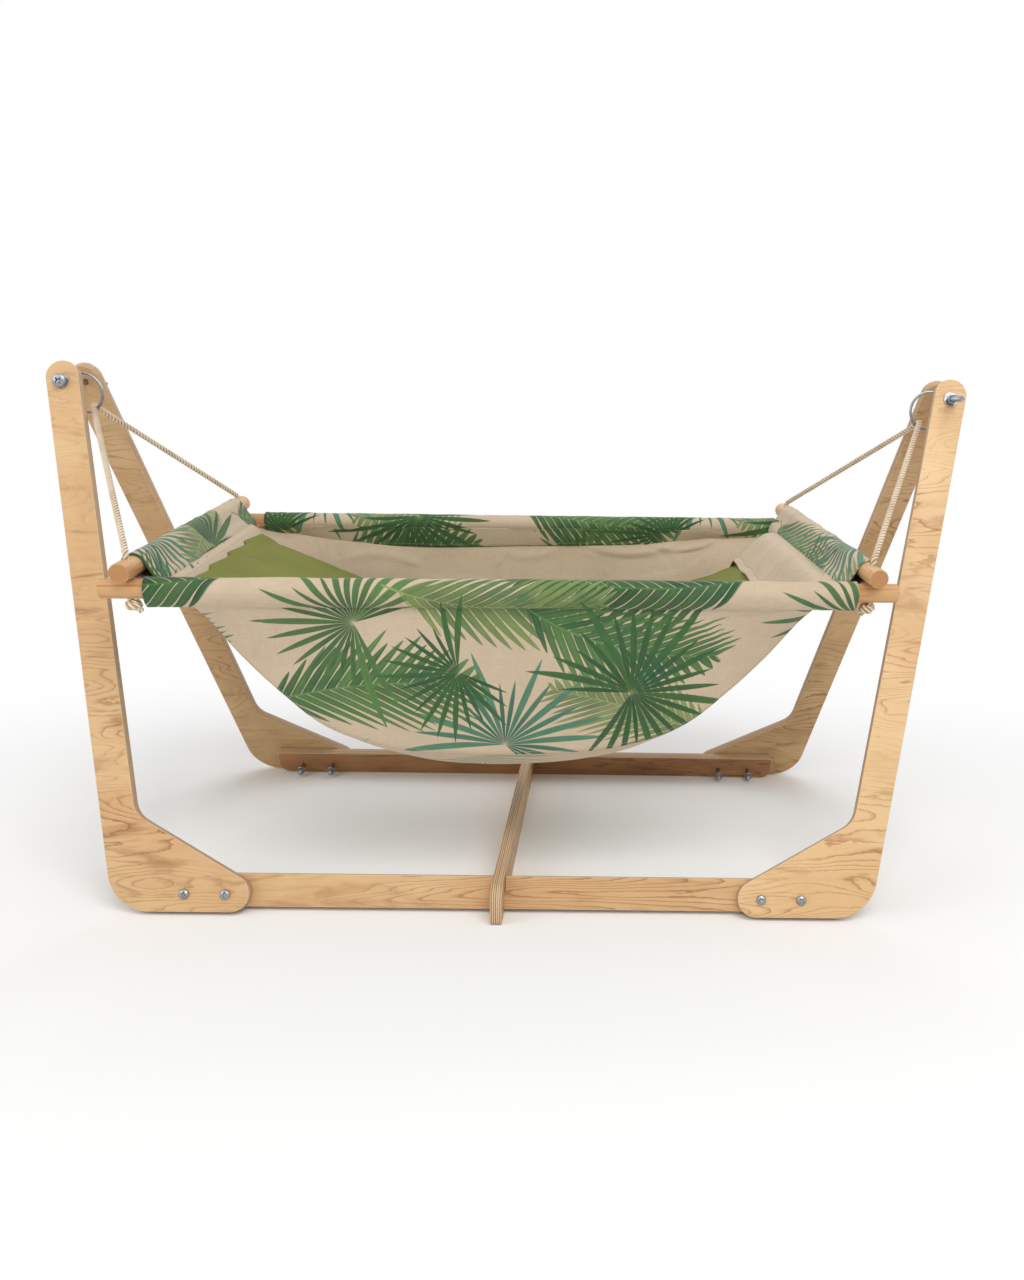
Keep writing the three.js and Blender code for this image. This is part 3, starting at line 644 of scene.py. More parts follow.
class Effects:
    """The node groups that several finishes share, each built once."""

    def __init__(self) -> None:
        """Builds all of them."""
        self.figure = self._figure()
        self.plies = self._plies()
        self.weave = self._weave()
        self.soil = self._soil()
        self.frond = self._frond()
        self.spray = self._spray()

    def _figure(self) -> bpy.types.NodeTree:
        """Wood figure: contour lines of a stretched noise field, as a peeled or sawn board shows.

        Line is a thin dark growth line, Fibre the fine streaks along the grain and Cloud the
        slow change of colour. The grain runs along the vector's x.

        Returns:
            The group's node tree.
        """
        graph, source, sink = new_group(
            "wood figure",
            {"Vector": (0.0, 0.0, 0.0), "Seed": 0.0, "Lines": 16.0, "Along": 3.0, "Across": 16.0},
            ("Line", "Fibre", "Cloud"),
        )
        get = source.outputs
        x, y, z = graph.split(get["Vector"])
        place = graph.combine(
            graph.times(x, get["Along"]),
            graph.times(y, get["Across"]),
            graph.plus(graph.times(z, 6.0), get["Seed"]),
        )
        field = graph.noise(place, 1.0, 1.6, 0.42, 0.35)
        wobble = graph.noise(graph.scaled(place, 7.0, 5.0, 1.0), 1.0, 3.0, 0.65)
        bands = graph.linear(field, get["Lines"], graph.times(wobble, 1.3))
        saw = graph.math("FRACT", bands)
        rise = graph.math("POWER", saw, 7.0)
        fall = graph.span(saw, 0.9, 1.0, 1.0, 0.0)
        strength = graph.span(graph.noise(graph.scaled(place, 1.3, 0.5, 1.0), 1.0, 1.0), 0.3, 0.72, 0.18, 1.0)
        line = graph.times(graph.times(rise, fall), strength)
        graph.put(graph.times(line, 1.9, clamp=True), sink.inputs["Line"])
        thin = graph.combine(
            graph.times(x, 34.0),
            graph.times(y, 900.0),
            graph.linear(z, 300.0, get["Seed"]),
        )
        graph.put(graph.noise(thin, 1.0, 3.0, 0.65), sink.inputs["Fibre"])
        slow = graph.scaled(get["Vector"], 5.0, 9.0, 9.0)
        slow = graph.vector("ADD", slow, graph.combine(0.0, 0.0, get["Seed"]))
        graph.put(graph.noise(slow, 1.0, 3.0, 0.55), sink.inputs["Cloud"])
        return graph.tree

    def _plies(self) -> bpy.types.NodeTree:
        """Plywood edge: layers through the depth, every other one showing its end grain.

        Tone is 1 on a dark layer and 0 on a pale one, Glue is 1 on the thin lines between them.

        Returns:
            The group's node tree.
        """
        graph, source, sink = new_group(
            "ply layers", {"Vector": (0.0, 0.0, 0.0), "Depth": 0.0, "Layers": 11.0}, ("Tone", "Glue")
        )
        get = source.outputs
        wander = graph.noise(graph.scaled(get["Vector"], 7.0, 7.0, 0.0), 1.0, 2.0)
        deep = graph.times(get["Depth"], get["Layers"])
        layer = graph.plus(deep, graph.linear(wander, 0.5, -0.25))
        number = graph.math("FLOOR", layer)
        odd = graph.math("PINGPONG", number, 1.0)
        pores = graph.noise(graph.scaled(get["Vector"], 520.0, 520.0, 3000.0), 1.0, 2.0, 0.7)
        luck = graph.chance(number)
        tone = graph.linear(luck, 0.35, graph.times(odd, 0.65))
        speck = graph.times(graph.span(pores, 0.45, 0.75), odd)
        graph.put(graph.linear(speck, 0.35, tone, clamp=True), sink.inputs["Tone"])
        near = graph.off_middle(layer)
        graph.put(graph.span(near, 0.42, 0.49), sink.inputs["Glue"])
        return graph.tree

    def _weave(self) -> bpy.types.NodeTree:
        """Plain linen weave: warp and weft threads over and under each other, with thick slubs.

        Height is the surface of the threads, Slub the uneven darker yarns, both from 0 to 1.

        Returns:
            The group's node tree.
        """
        graph, source, sink = new_group(
            "linen weave", {"Vector": (0.0, 0.0, 0.0), "Pitch": 0.0009}, ("Height", "Slub")
        )
        get = source.outputs
        x, y, _ = graph.split(get["Vector"])
        number = graph.ratio(math.pi, get["Pitch"])
        warp = graph.math("SINE", graph.times(x, number))
        weft = graph.math("SINE", graph.times(y, number))
        over = graph.times(warp, weft)
        along = graph.noise(graph.scaled(get["Vector"], 45.0, 1100.0, 0.0), 1.0, 2.0, 0.6)
        down = graph.noise(graph.scaled(get["Vector"], 1100.0, 45.0, 0.0), 1.0, 2.0, 0.6)
        slub = graph.math("MAXIMUM", graph.span(along, 0.5, 0.75), graph.span(down, 0.52, 0.78))
        height = graph.linear(over, 0.35, graph.linear(slub, 0.3, 0.35))
        graph.put(height, sink.inputs["Height"])
        graph.put(slub, sink.inputs["Slub"])
        return graph.tree

    def _soil(self) -> bpy.types.NodeTree:
        """Handling marks and dust: a soft patchy mask with small specks, from 0 to 1.

        Returns:
            The group's node tree.
        """
        graph, source, sink = new_group("soil", {"Vector": (0.0, 0.0, 0.0), "Scale": 9.0}, ("Mask",))
        get = source.outputs
        place = graph.vector("SCALE", get["Vector"])
        graph.put(get["Scale"], place.node.inputs["Scale"])
        patch = graph.span(graph.noise(place, 1.0, 4.0, 0.6), 0.42, 0.8)
        speck = graph.span(graph.noise(place, 24.0, 2.0, 0.6), 0.66, 0.8)
        graph.put(graph.linear(speck, 0.5, patch, clamp=True), sink.inputs["Mask"])
        return graph.tree

    def _repeat(self, graph: Graph, get: bpy.types.bpy_prop_collection) -> tuple[Socket, Socket]:
        """A cloth place measured from a motif's root, along and across it, wrapped by the repeat.

        Args:
            graph: The motif's graph.
            get: The motif's inputs.

        Returns:
            Metres along and across it.
        """
        half = graph.vector("MULTIPLY", get["Repeat"], (0.5, 0.5, 0.5))
        high = graph.vector("ADD", get["Middle"], half)
        wrapped = graph.vector("WRAP", get["Vector"], high, graph.vector("SUBTRACT", get["Middle"], half))
        turned = graph.add("VectorRotate", rotation_type="Z_AXIS")
        graph.put(graph.vector("SUBTRACT", wrapped, get["Root"]), turned.inputs["Vector"])
        graph.put(graph.times(get["Turn"], -1.0), turned.inputs["Angle"])
        x, y, _ = graph.split(turned.outputs[0])
        return x, y

    def _frond(self) -> bpy.types.NodeTree:
        """A feathered leaf: slim leaflets that leave a bent midrib at a slant on both sides.

        A place's leaflet is the whole part of (along − |across| · slant) / spacing. It is inside
        that leaflet where the fraction's distance from the middle is under a width that swells
        and then tapers to a point at the leaf's outline, which is a power curve of the length.

        Returns:
            The group's node tree.
        """
        graph, source, sink = new_group(
            "frond",
            {
                **MOTIF_INPUTS,
                "Length": 0.3, "Width": 0.08, "Leaflets": 20.0, "Bend": 1.0, "Slant": 1.1, "Seed": 0.0,
            },
            ("Mask", "Shade"),
        )
        get = source.outputs
        x, y = self._repeat(graph, get)
        lift = graph.times(graph.times(x, x), get["Bend"])
        y = graph.minus(y, lift)
        side = graph.math("SIGN", y)
        away = graph.math("ABSOLUTE", y)
        root = graph.minus(x, graph.times(away, get["Slant"]))
        share = graph.ratio(root, get["Length"])
        place = graph.linear(share, get["Leaflets"], graph.times(side, 0.22))
        number = graph.math("FLOOR", place)
        middle = graph.off_middle(place)
        luck = graph.chance(number, graph.plus(side, get["Seed"]))
        held = graph.math("MINIMUM", graph.math("MAXIMUM", share, 0.0), 1.0)
        rise = graph.math("POWER", graph.plus(held, 0.03), 0.4)
        fall = graph.math("POWER", graph.minus(1.02, held), 0.75)
        reach = graph.times(graph.times(rise, fall), 1.75)
        reach = graph.times(reach, graph.linear(luck, 0.3, 0.8))
        reach = graph.times(reach, get["Width"])
        out = graph.ratio(away, reach)
        taper = graph.math("POWER", graph.math("MAXIMUM", graph.minus(1.0, out), 0.0), 0.6)
        swell = graph.math("POWER", graph.plus(graph.math("MINIMUM", out, 1.0), 0.05), 0.12)
        width = graph.times(graph.times(taper, swell), 0.64)
        spacing = graph.ratio(get["Length"], get["Leaflets"])
        inside = graph.times(graph.minus(width, middle), spacing)
        leaf = graph.span(inside, -0.0001, 0.0005)
        ends = graph.times(graph.span(share, -0.01, 0.01), graph.span(share, 1.0, 0.98))
        leaf = graph.times(leaf, ends)
        whole = graph.ratio(x, get["Length"])
        rib = graph.times(graph.span(whole, -0.1, -0.08), graph.span(whole, 1.0, 0.9))
        rib = graph.times(rib, graph.span(away, 0.0016, 0.0008))
        graph.put(graph.math("MAXIMUM", leaf, rib), sink.inputs["Mask"])
        streak = graph.streak(place, 7.0, away, 18.0, get["Seed"])
        shade = graph.linear(luck, 0.42, graph.linear(streak, 0.5, -0.08))
        vein = graph.times(graph.span(middle, 0.09, 0.0), 0.22)
        shade = graph.plus(shade, vein)
        shade = graph.linear(out, 0.16, shade)
        graph.put(graph.linear(rib, 0.5, shade, clamp=True), sink.inputs["Shade"])
        return graph.tree

    def _spray(self) -> bpy.types.NodeTree:
        """A tuft of narrow blades from one root, which droop outwards.

        With the place in polar form, the blade is the whole part of the angle over the blades'
        spacing, after the angle has been bent in proportion to the radius. Inside a blade the
        fraction's distance from the middle is under a width that tapers to the blade's own tip.

        Returns:
            The group's node tree.
        """
        graph, source, sink = new_group(
            "spray",
            {
                **MOTIF_INPUTS,
                "Length": 0.13, "Spread": 1.4, "Blades": 15.0, "Bend": 3.0, "Fill": 0.4, "Seed": 0.0,
            },
            ("Mask", "Shade"),
        )
        get = source.outputs
        x, y = self._repeat(graph, get)
        radius = graph.vector("LENGTH", graph.combine(x, y))
        angle = graph.math("ARCTAN2", y, x)
        droop = graph.times(graph.times(radius, get["Bend"]), angle)
        angle = graph.minus(angle, graph.times(droop, 0.5))
        share = graph.ratio(angle, get["Spread"])
        place = graph.times(graph.linear(share, 0.5, 0.5), get["Blades"])
        number = graph.math("FLOOR", place)
        middle = graph.off_middle(place)
        luck = graph.chance(number, get["Seed"])
        reach = graph.times(get["Length"], graph.linear(luck, 0.45, 0.55))
        out = graph.ratio(radius, reach)
        taper = graph.math("POWER", graph.math("MAXIMUM", graph.minus(1.0, out), 0.0), 0.85)
        width = graph.times(taper, get["Fill"])
        step = graph.ratio(graph.times(get["Spread"], 2.0), get["Blades"])
        inside = graph.times(graph.minus(width, middle), graph.times(step, radius))
        blade = graph.span(inside, -0.0001, 0.0005)
        fan = graph.span(graph.math("ABSOLUTE", share), 1.0, 0.995)
        graph.put(graph.times(blade, fan), sink.inputs["Mask"])
        streak = graph.streak(place, 5.0, radius, 20.0, get["Seed"])
        shade = graph.linear(luck, 0.4, graph.linear(streak, 0.5, -0.12))
        graph.put(graph.linear(out, 0.25, shade, clamp=True), sink.inputs["Shade"])
        return graph.tree


# FINISHES


def surface(name: str) -> tuple[bpy.types.Material, Graph, bpy.types.Node]:
    """A new material with its graph and its Principled shader.

    Args:
        name: The material's name.

    Returns:
        The material, its graph and its shader.
    """
    material = bpy.data.materials.new(name)
    material.use_nodes = True
    graph = Graph(material.node_tree)
    shader = material.node_tree.nodes["Principled BSDF"]
    return material, graph, shader


def bumped(
    graph: Graph, shader: bpy.types.Node, height: Value, distance: float, strength: float = 1.0
) -> None:
    """Feeds a height in units of distance, in metres, to the shader's normal.

    Args:
        graph: The material's graph.
        shader: The shader to feed.
        height: The height.
        distance: The height's unit, in metres.
        strength: Strength of the bump.
    """
    node = graph.add("Bump")
    graph.put(strength, node.inputs["Strength"])
    graph.put(distance, node.inputs["Distance"])
    graph.put(height, node.inputs["Height"])
    graph.put(node.outputs[0], shader.inputs["Normal"])


@dataclass(frozen=True)
class BirchPlywood:
    """Birch plywood: peeled face veneer, pale and dark layers on its edges, satin lacquer."""

    name: str
    pale: tuple
    tan: tuple
    dark: tuple
    seed: float
    along: float = 3.0
    figure: float = 0.95
    flame: float = 0.45
    roughness: float = 0.5

    def build(self, effects: Effects) -> bpy.types.Material:
        """The material. It reads the board and edge attributes of a board.

        Args:
            effects: The node groups that finishes share.

        Returns:
            The finished material.
        """
        material, graph, shader = surface(self.name)
        board = graph.attribute("board", "Vector")
        edge = graph.attribute("edge", "Fac")
        wood = graph.use(
            effects.figure, Vector=board, Seed=self.seed, Lines=27.0, Along=self.along, Across=15.0
        )
        line, fibre, cloud = wood.outputs
        ground = graph.mix(graph.span(cloud, 0.3, 0.7), self.pale, self.tan)
        flame = graph.noise(graph.scaled(board, 9.0, 34.0, 5.0), 1.0, 3.0, 0.6, 0.8)
        ground = graph.mix(graph.times(graph.span(flame, 0.52, 0.72), self.flame), ground, self.dark)
        face = graph.mix(graph.times(line, self.figure), ground, self.dark)
        streak = graph.times(graph.span(fibre, 0.55, 0.75), 0.22)
        face = graph.mix(streak, face, self.dark)
        depth = graph.ratio(graph.split(board)[2], 0.015)
        plies = graph.use(effects.plies, Vector=board, Depth=depth, Layers=11.0)
        end = graph.mix(plies.outputs["Tone"], display(226, 198, 162), display(160, 116, 76))
        end = graph.mix(graph.times(plies.outputs["Glue"], 0.55), end, display(118, 82, 54))
        rim = graph.span(edge, 0.45, 0.75)
        colour = graph.mix(rim, face, end)
        # Painted highlight: a paler band along the middle of each rounded edge, where the arris catches the
        # light.
        painted_arris_highlight = graph.times(graph.span(edge, 0.05, 0.3), graph.span(edge, 0.95, 0.5))
        colour = graph.mix(graph.times(painted_arris_highlight, 0.4), colour, display(235, 205, 165))
        soil = graph.use(effects.soil, Vector=board, Scale=14.0)
        colour = graph.mix(graph.times(soil.outputs[0], 0.12), colour, self.dark)
        graph.put(colour, shader.inputs["Base Color"])
        gloss = graph.linear(fibre, 0.16, self.roughness - 0.08)
        graph.put(graph.linear(rim, 0.15, gloss), shader.inputs["Roughness"])
        pores = graph.times(fibre, graph.linear(rim, 1.5, 1.0))
        height = graph.minus(pores, graph.times(plies.outputs["Glue"], rim))
        bumped(graph, shader, height, 0.00012)
        return material


@dataclass(frozen=True)
class Beech:
    """Turned beech: straight grain along the rod, rings on its ends, bare and matt."""

    name: str
    pale: tuple
    tan: tuple
    dark: tuple
    seed: float

    def build(self, effects: Effects) -> bpy.types.Material:
        """The material. It reads the board and edge attributes of a dowel.

        Args:
            effects: The node groups that finishes share.

        Returns:
            The finished material.
        """
        material, graph, shader = surface(self.name)
        board = graph.attribute("board", "Vector")
        edge = graph.attribute("edge", "Fac")
        wood = graph.use(effects.figure, Vector=board, Seed=self.seed, Lines=26.0, Along=0.7, Across=60.0)
        line, fibre, cloud = wood.outputs
        ground = graph.mix(graph.span(cloud, 0.3, 0.7), self.pale, self.tan)
        side = graph.mix(graph.times(line, 0.8), ground, self.dark)
        side = graph.mix(graph.times(graph.span(fibre, 0.5, 0.72), 0.35), side, self.dark)
        _, y, z = graph.split(board)
        pith = graph.combine(0.0, graph.plus(y, 0.016), graph.times(z, 0.8))
        turn = graph.noise(graph.scaled(board, 0.0, 120.0, 120.0), 1.0, 2.0)
        ring = graph.math("FRACT", graph.linear(graph.vector("LENGTH", pith), 420.0, turn))
        end = graph.mix(graph.linear(graph.span(ring, 0.35, 0.95), 0.4, 0.4), self.tan, self.dark)
        colour = graph.mix(edge, side, end)
        soil = graph.use(effects.soil, Vector=board, Scale=22.0)
        colour = graph.mix(graph.times(soil.outputs[0], 0.14), colour, self.dark)
        graph.put(colour, shader.inputs["Base Color"])
        graph.put(graph.linear(fibre, 0.2, 0.42), shader.inputs["Roughness"])
        bumped(graph, shader, graph.linear(ring, graph.times(edge, 0.5), fibre), 0.00012)
        return material


@dataclass(frozen=True)
class Zinc:
    """Zinc-plated steel: bright grey metal, faintly yellow in patches, with a fine dull bloom."""

    name: str
    bright: tuple
    dull: tuple
    roughness: float = 0.3

    def build(self, effects: Effects) -> bpy.types.Material:
        """The material, on object coordinates.

        Args:
            effects: The node groups that finishes share.

        Returns:
            The finished material.
        """
        material, graph, shader = surface(self.name)
        place = graph.add("TexCoord").outputs["Object"]
        soil = graph.use(effects.soil, Vector=place, Scale=120.0).outputs[0]
        bloom = graph.noise(place, 240.0, 3.0, 0.6)
        colour = graph.mix(graph.times(soil, 0.6), self.bright, self.dull)
        graph.put(colour, shader.inputs["Base Color"])
        graph.put(1.0, shader.inputs["Metallic"])
        rough = graph.linear(bloom, 0.2, self.roughness - 0.08)
        graph.put(graph.linear(soil, 0.15, rough), shader.inputs["Roughness"])
        bumped(graph, shader, bloom, 0.00005)
        return material


@dataclass(frozen=True)
class CottonRope:
    """Twisted cotton: each strand is many fine yarns, which run round it at a slant."""

    name: str
    pale: tuple
    shadow: tuple
    yarns: float = 9.0

    def build(self, effects: Effects) -> bpy.types.Material:
        """The material. Its UV map holds metres along a strand and the turn round it.

        Args:
            effects: The node groups that finishes share; not used here.

        Returns:
            The finished material.
        """
        material, graph, shader = surface(self.name)
        along, around, _ = graph.split(graph.add("UVMap", uv_map="cloth").outputs[0])
        slant = graph.linear(around, self.yarns, graph.times(along, 620.0))
        yarn = graph.off_middle(slant)
        place = graph.add("TexCoord").outputs["Object"]
        fuzz = graph.noise(place, 1500.0, 3.0, 0.7)
        cloud = graph.noise(place, 22.0, 3.0, 0.6)
        # Painted shade: the colour darkens in the grooves between the yarns and on each strand's inner side,
        # where the strands press together. The cloud and fuzz add the cotton's own uneven tone.
        groove = graph.times(graph.span(yarn, 0.3, 0.5), 0.3)
        inward = graph.math("PINGPONG", around, 0.5)
        groove = graph.linear(graph.span(inward, 0.06, 0.2), 0.75, groove)
        shade = graph.linear(graph.span(cloud, 0.35, 0.75), 0.3, groove)
        shade = graph.linear(fuzz, 0.2, shade, clamp=True)
        graph.put(graph.mix(shade, self.pale, self.shadow), shader.inputs["Base Color"])
        graph.put(graph.linear(fuzz, 0.1, 0.84), shader.inputs["Roughness"])
        graph.put(0.25, shader.inputs["Sheen Weight"])
        height = graph.linear(fuzz, 0.5, graph.times(yarn, -1.2))
        bumped(graph, shader, height, 0.0003)
        return material


@dataclass(frozen=True)
class Leaf:
    """One motif of the print: its form, root and size in metres on the cloth, and its greens."""

    motif: Motif
    root: tuple[float, float]
    turn: float
    length: float
    seed: float
    dark: tuple
    light: tuple
    strength: float = 1.0
    width: float = 0.075
    count: float = 19.0
    bend: float = 0.8
    spread: float = 1.5
    fill: float = 0.42

    @property
    def middle(self) -> tuple[float, float, float]:
        """The place on the cloth about which the print's repeat is cut, so that it cuts no leaf.

        Returns:
            That place, as a vector.
        """
        reach = self.length * (0.5 if self.motif is Motif.FROND else max(0.0, 0.5 - self.spread / 6))
        x, y = self.root
        return (x + reach * math.cos(self.turn), y + reach * math.sin(self.turn), 0.0)


DEEP = (display(22, 58, 38), display(74, 120, 62))
FOREST = (display(30, 74, 46), display(104, 144, 78))
TEAL = (display(22, 78, 68), display(96, 150, 118))
SAGE = (display(116, 144, 104), display(158, 174, 132))
MOSS = (display(70, 104, 58), display(142, 160, 96))


@dataclass(frozen=True)
class Linen:
    """Linen cloth: slubbed natural weave, plain or printed with leaves, and softly creased."""

    name: str
    pale: tuple
    dark: tuple
    leaves: tuple[Leaf, ...] = ()
    repeat: tuple[float, float, float] = (0.66, 0.40, 1.0)
    offset: tuple[float, float, float] = (0.0, 0.0, 0.0)

    def build(self, effects: Effects) -> bpy.types.Material:
        """The material. Its UV map holds metres on the flat cloth.

        Args:
            effects: The node groups that finishes share.

        Returns:
            The finished material.
        """
        material, graph, shader = surface(self.name)
        flat = graph.add("UVMap", uv_map="cloth").outputs[0]
        weave = graph.use(effects.weave, Vector=flat, Pitch=0.0009)
        height, slub = weave.outputs
        cloud = graph.noise(graph.scaled(flat, 9.0, 9.0, 0.0), 1.0, 3.0, 0.6)
        shade = graph.linear(slub, 0.55, graph.linear(cloud, 0.5, -0.15), clamp=True)
        colour = graph.mix(shade, self.pale, self.dark)
        if self.leaves:
            colour = self.print_leaves(effects, graph, graph.vector("ADD", flat, self.offset), colour)
        # Painted shade: darker where the weave lies low, between the threads.
        thread = graph.times(graph.minus(1.0, height), 0.22)
        colour = graph.mix(thread, colour, self.dark, "MULTIPLY")
        graph.put(colour, shader.inputs["Base Color"])
        graph.put(graph.linear(slub, -0.08, 0.9), shader.inputs["Roughness"])
        graph.put(0.15, shader.inputs["Sheen Weight"])
        graph.put(0.4, shader.inputs["Sheen Roughness"])
        bumped(graph, shader, height, 0.00022, 0.8)
        return material

    def print_leaves(self, effects: Effects, graph: Graph, flat: Socket, colour: Value) -> Value:
        """Lays the leaves over the cloth in order, the ink a little uneven, as water colour is.

        Where the piece's plain attribute rises above 0.5, the cloth is bare.

        Args:
            effects: The shared groups.
            graph: Graph of the material.
            flat: Place on the cloth.
            colour: Colour of the bare cloth.

        Returns:
            The printed colour.
        """
        ink = graph.noise(graph.scaled(flat, 38.0, 38.0, 0.0), 1.0, 4.0, 0.62)
        wash = graph.noise(graph.scaled(flat, 16.0, 16.0, 0.0), 1.0, 2.0)
        plain = graph.attribute("plain", "Fac")
        printed = graph.span(plain, 0.52, 0.48)
        for leaf in self.leaves:
            common = {
                "Vector": flat, "Repeat": self.repeat, "Root": (*leaf.root, 0.0), "Middle": leaf.middle,
                "Turn": leaf.turn, "Length": leaf.length, "Bend": leaf.bend, "Seed": leaf.seed,
            }
            if leaf.motif is Motif.FROND:
                node = graph.use(effects.frond, Width=leaf.width, Leaflets=leaf.count, **common)
            else:
                node = graph.use(
                    effects.spray, Spread=leaf.spread, Blades=leaf.count, Fill=leaf.fill, **common
                )
            mask, tone = node.outputs
            tone = graph.linear(graph.minus(ink, 0.5), 0.8, tone, clamp=True)
            green = graph.mix(tone, leaf.dark, leaf.light)
            if leaf.dark != TEAL[0]:
                green = graph.mix(graph.times(graph.span(wash, 0.52, 0.72), 0.35), green, TEAL[0])
            cover = graph.times(mask, graph.linear(ink, 0.3, leaf.strength - 0.17))
            colour = graph.mix(graph.times(cover, printed), colour, green)
        return colour


@dataclass(frozen=True)
class OliveCover:
    """The pad's cover: a close olive cotton, lighter and darker in soft patches."""

    name: str
    light: tuple
    dark: tuple

    def build(self, effects: Effects) -> bpy.types.Material:
        """The material, on object coordinates, because the simulated pad has no UV map.

        Args:
            effects: The node groups that finishes share.

        Returns:
            The finished material.
        """
        material, graph, shader = surface(self.name)
        place = graph.add("TexCoord").outputs["Object"]
        weave = graph.use(effects.weave, Vector=place, Pitch=0.0007)
        height, slub = weave.outputs
        cloud = graph.noise(place, 14.0, 3.0, 0.6)
        shade = graph.linear(slub, 0.35, graph.linear(cloud, 0.8, -0.2), clamp=True)
        graph.put(graph.mix(shade, self.light, self.dark), shader.inputs["Base Color"])
        graph.put(graph.linear(slub, -0.06, 0.86), shader.inputs["Roughness"])
        graph.put(0.05, shader.inputs["Sheen Weight"])
        graph.put(0.25, shader.inputs["Specular IOR Level"])
        bumped(graph, shader, height, 0.00018, 0.7)
        return material


# STAND


def rounded_outline(corners: Sequence[tuple[float, float, float]], chord: float = 0.002) -> Array:
    """A closed outline whose corners are arcs tangent to both sides.

    An arc's centre lies on the corner's bisector, radius / sin(half angle) from the corner.

    Args:
        corners: x, y and radius of each corner, counter-clockwise.
        chord: Greatest distance between an arc's points, in metres.

    Returns:
        (n, 2) points.
    """
    places = np.array([c[:2] for c in corners])
    back = unit(np.roll(places, 1, 0) - places)
    ahead = unit(np.roll(places, -1, 0) - places)
    half = np.arccos(np.clip((back * ahead).sum(-1), -1, 1)) / 2
    parts = []
    for k, (_, _, radius) in enumerate(corners):
        if radius == 0:
            parts.append(places[k : k + 1])
            continue
        centre = places[k] + unit(back[k] + ahead[k]) * radius / math.sin(half[k])
        ends = np.stack([back[k], ahead[k]]) * radius / math.tan(half[k]) + places[k] - centre
        start, stop = np.arctan2(ends[:, 1], ends[:, 0])
        sweep = (stop - start + math.pi) % TAU - math.pi
        angle = start + np.linspace(0, sweep, max(3, math.ceil(abs(sweep) * radius / chord) + 1))
        parts.append(centre + radius * np.stack([np.cos(angle), np.sin(angle)], 1))
    return np.concatenate(parts)


def hole_outline(x: float, y: float, radius: float, stretch: float = 1.0, sides: int = 32) -> Array:
    """A hole's outline, clockwise: a circle stretched along y."""
    angle = -angles(sides)
    return np.stack([x + radius * np.cos(angle), y + radius * stretch * np.sin(angle)], 1)


@dataclass(frozen=True)
class Board:
    """A piece of plywood with softly broken edges.

    Attributes:
        outline: (n, 2) points, counter-clockwise.
        holes: Outlines, clockwise.
        drift: For each hole, how far it moves along y per metre of depth.
        thickness: Depth of the board, in metres.
        rounding: Radius of its edges, in metres.
    """

    outline: Array
    holes: tuple[Array, ...]
    drift: tuple[float, ...]
    thickness: float
    rounding: float = 0.0011

    def skin(self) -> tuple[Skin, dict[str, Array]]:
        """Walls as rings of each outline, moved inwards by rounding · (1 − sin a) at depth
        rounding · (1 − cos a), and two triangulated faces between the outermost rings.

        Returns:
            The skin and its board and edge attributes.
        """
        angle = np.linspace(0, math.pi / 2, 4)
        inset = self.rounding * (1 - np.sin(angle))
        depth = self.rounding * (1 - np.cos(angle))
        inset = np.concatenate([inset, inset[::-1]])
        depth = np.concatenate([depth, self.thickness - depth[::-1]])
        skins, rings, edges = [], [], []
        for loop, drift in zip((self.outline, *self.holes), (0.0, *self.drift)):
            along = unit(np.roll(loop, -1, 0) - loop)
            normal = np.stack([-along[:, 1], along[:, 0]], 1)
            before = np.roll(normal, 1, 0)
            mitre = (normal + before) / (1 + (normal * before).sum(1, keepdims=True))
            flat = loop[None] + inset[:, None, None] * mitre[None]
            flat = flat + np.array([0.0, drift]) * (depth - self.thickness / 2)[:, None, None]
            height = np.broadcast_to(depth[:, None, None], (*flat.shape[:2], 1))
            ring = np.concatenate([flat, height], 2)
            skins.append(grid_skin(ring, closed=(False, True), flip=True))
            rings.append(ring)
            edges.append(np.broadcast_to((1 - inset / self.rounding)[:, None], flat.shape[:2]).ravel())
        whole = Skin.joined(skins)
        starts = np.cumsum([0] + [ring.shape[0] * ring.shape[1] for ring in rings])
        for row, flip in ((0, True), (-1, False)):
            borders = [ring[row, :, :2] for ring in rings]
            numbers = np.concatenate(
                [
                    start + (ring.shape[0] - 1 if row else 0) * ring.shape[1] + np.arange(ring.shape[1])
                    for ring, start in zip(rings, starts)
                ]
            )
            whole.faces.append(numbers[self.cap(borders)][:, :: -1 if flip else 1])
            whole.cloth.append(np.zeros((*whole.faces[-1].shape, 2)))
        return whole, {"board": whole.points.copy(), "edge": np.concatenate(edges)}

    @staticmethod
    def cap(borders: Sequence[Array]) -> Array:
        """Triangles, counter-clockwise, between an outline and its holes, as point numbers.

        Args:
            borders: The outline and then its holes.

        Returns:
            Three point numbers for each triangle.
        """
        counts = [len(border) for border in borders]
        starts = np.cumsum([0] + counts[:-1])
        edges = np.concatenate(
            [start + np.stack([np.arange(n), (np.arange(n) + 1) % n], 1) for start, n in zip(starts, counts)]
        )
        flat = np.concatenate(borders)
        found = delaunay_2d_cdt([tuple(p) for p in flat.tolist()], edges.tolist(), [], 1, 1e-7)
        origin = np.array([numbers[0] for numbers in found[3]])
        triangles = origin[np.array(found[2])]
        middle = flat[triangles].mean(1)
        keep = np.ones(len(triangles), bool)
        for hole in borders[1:]:
            reach = np.abs(hole - hole.mean(0)).max(0)
            keep &= (((middle - hole.mean(0)) / reach) ** 2).sum(1) > 1
        return triangles[keep]


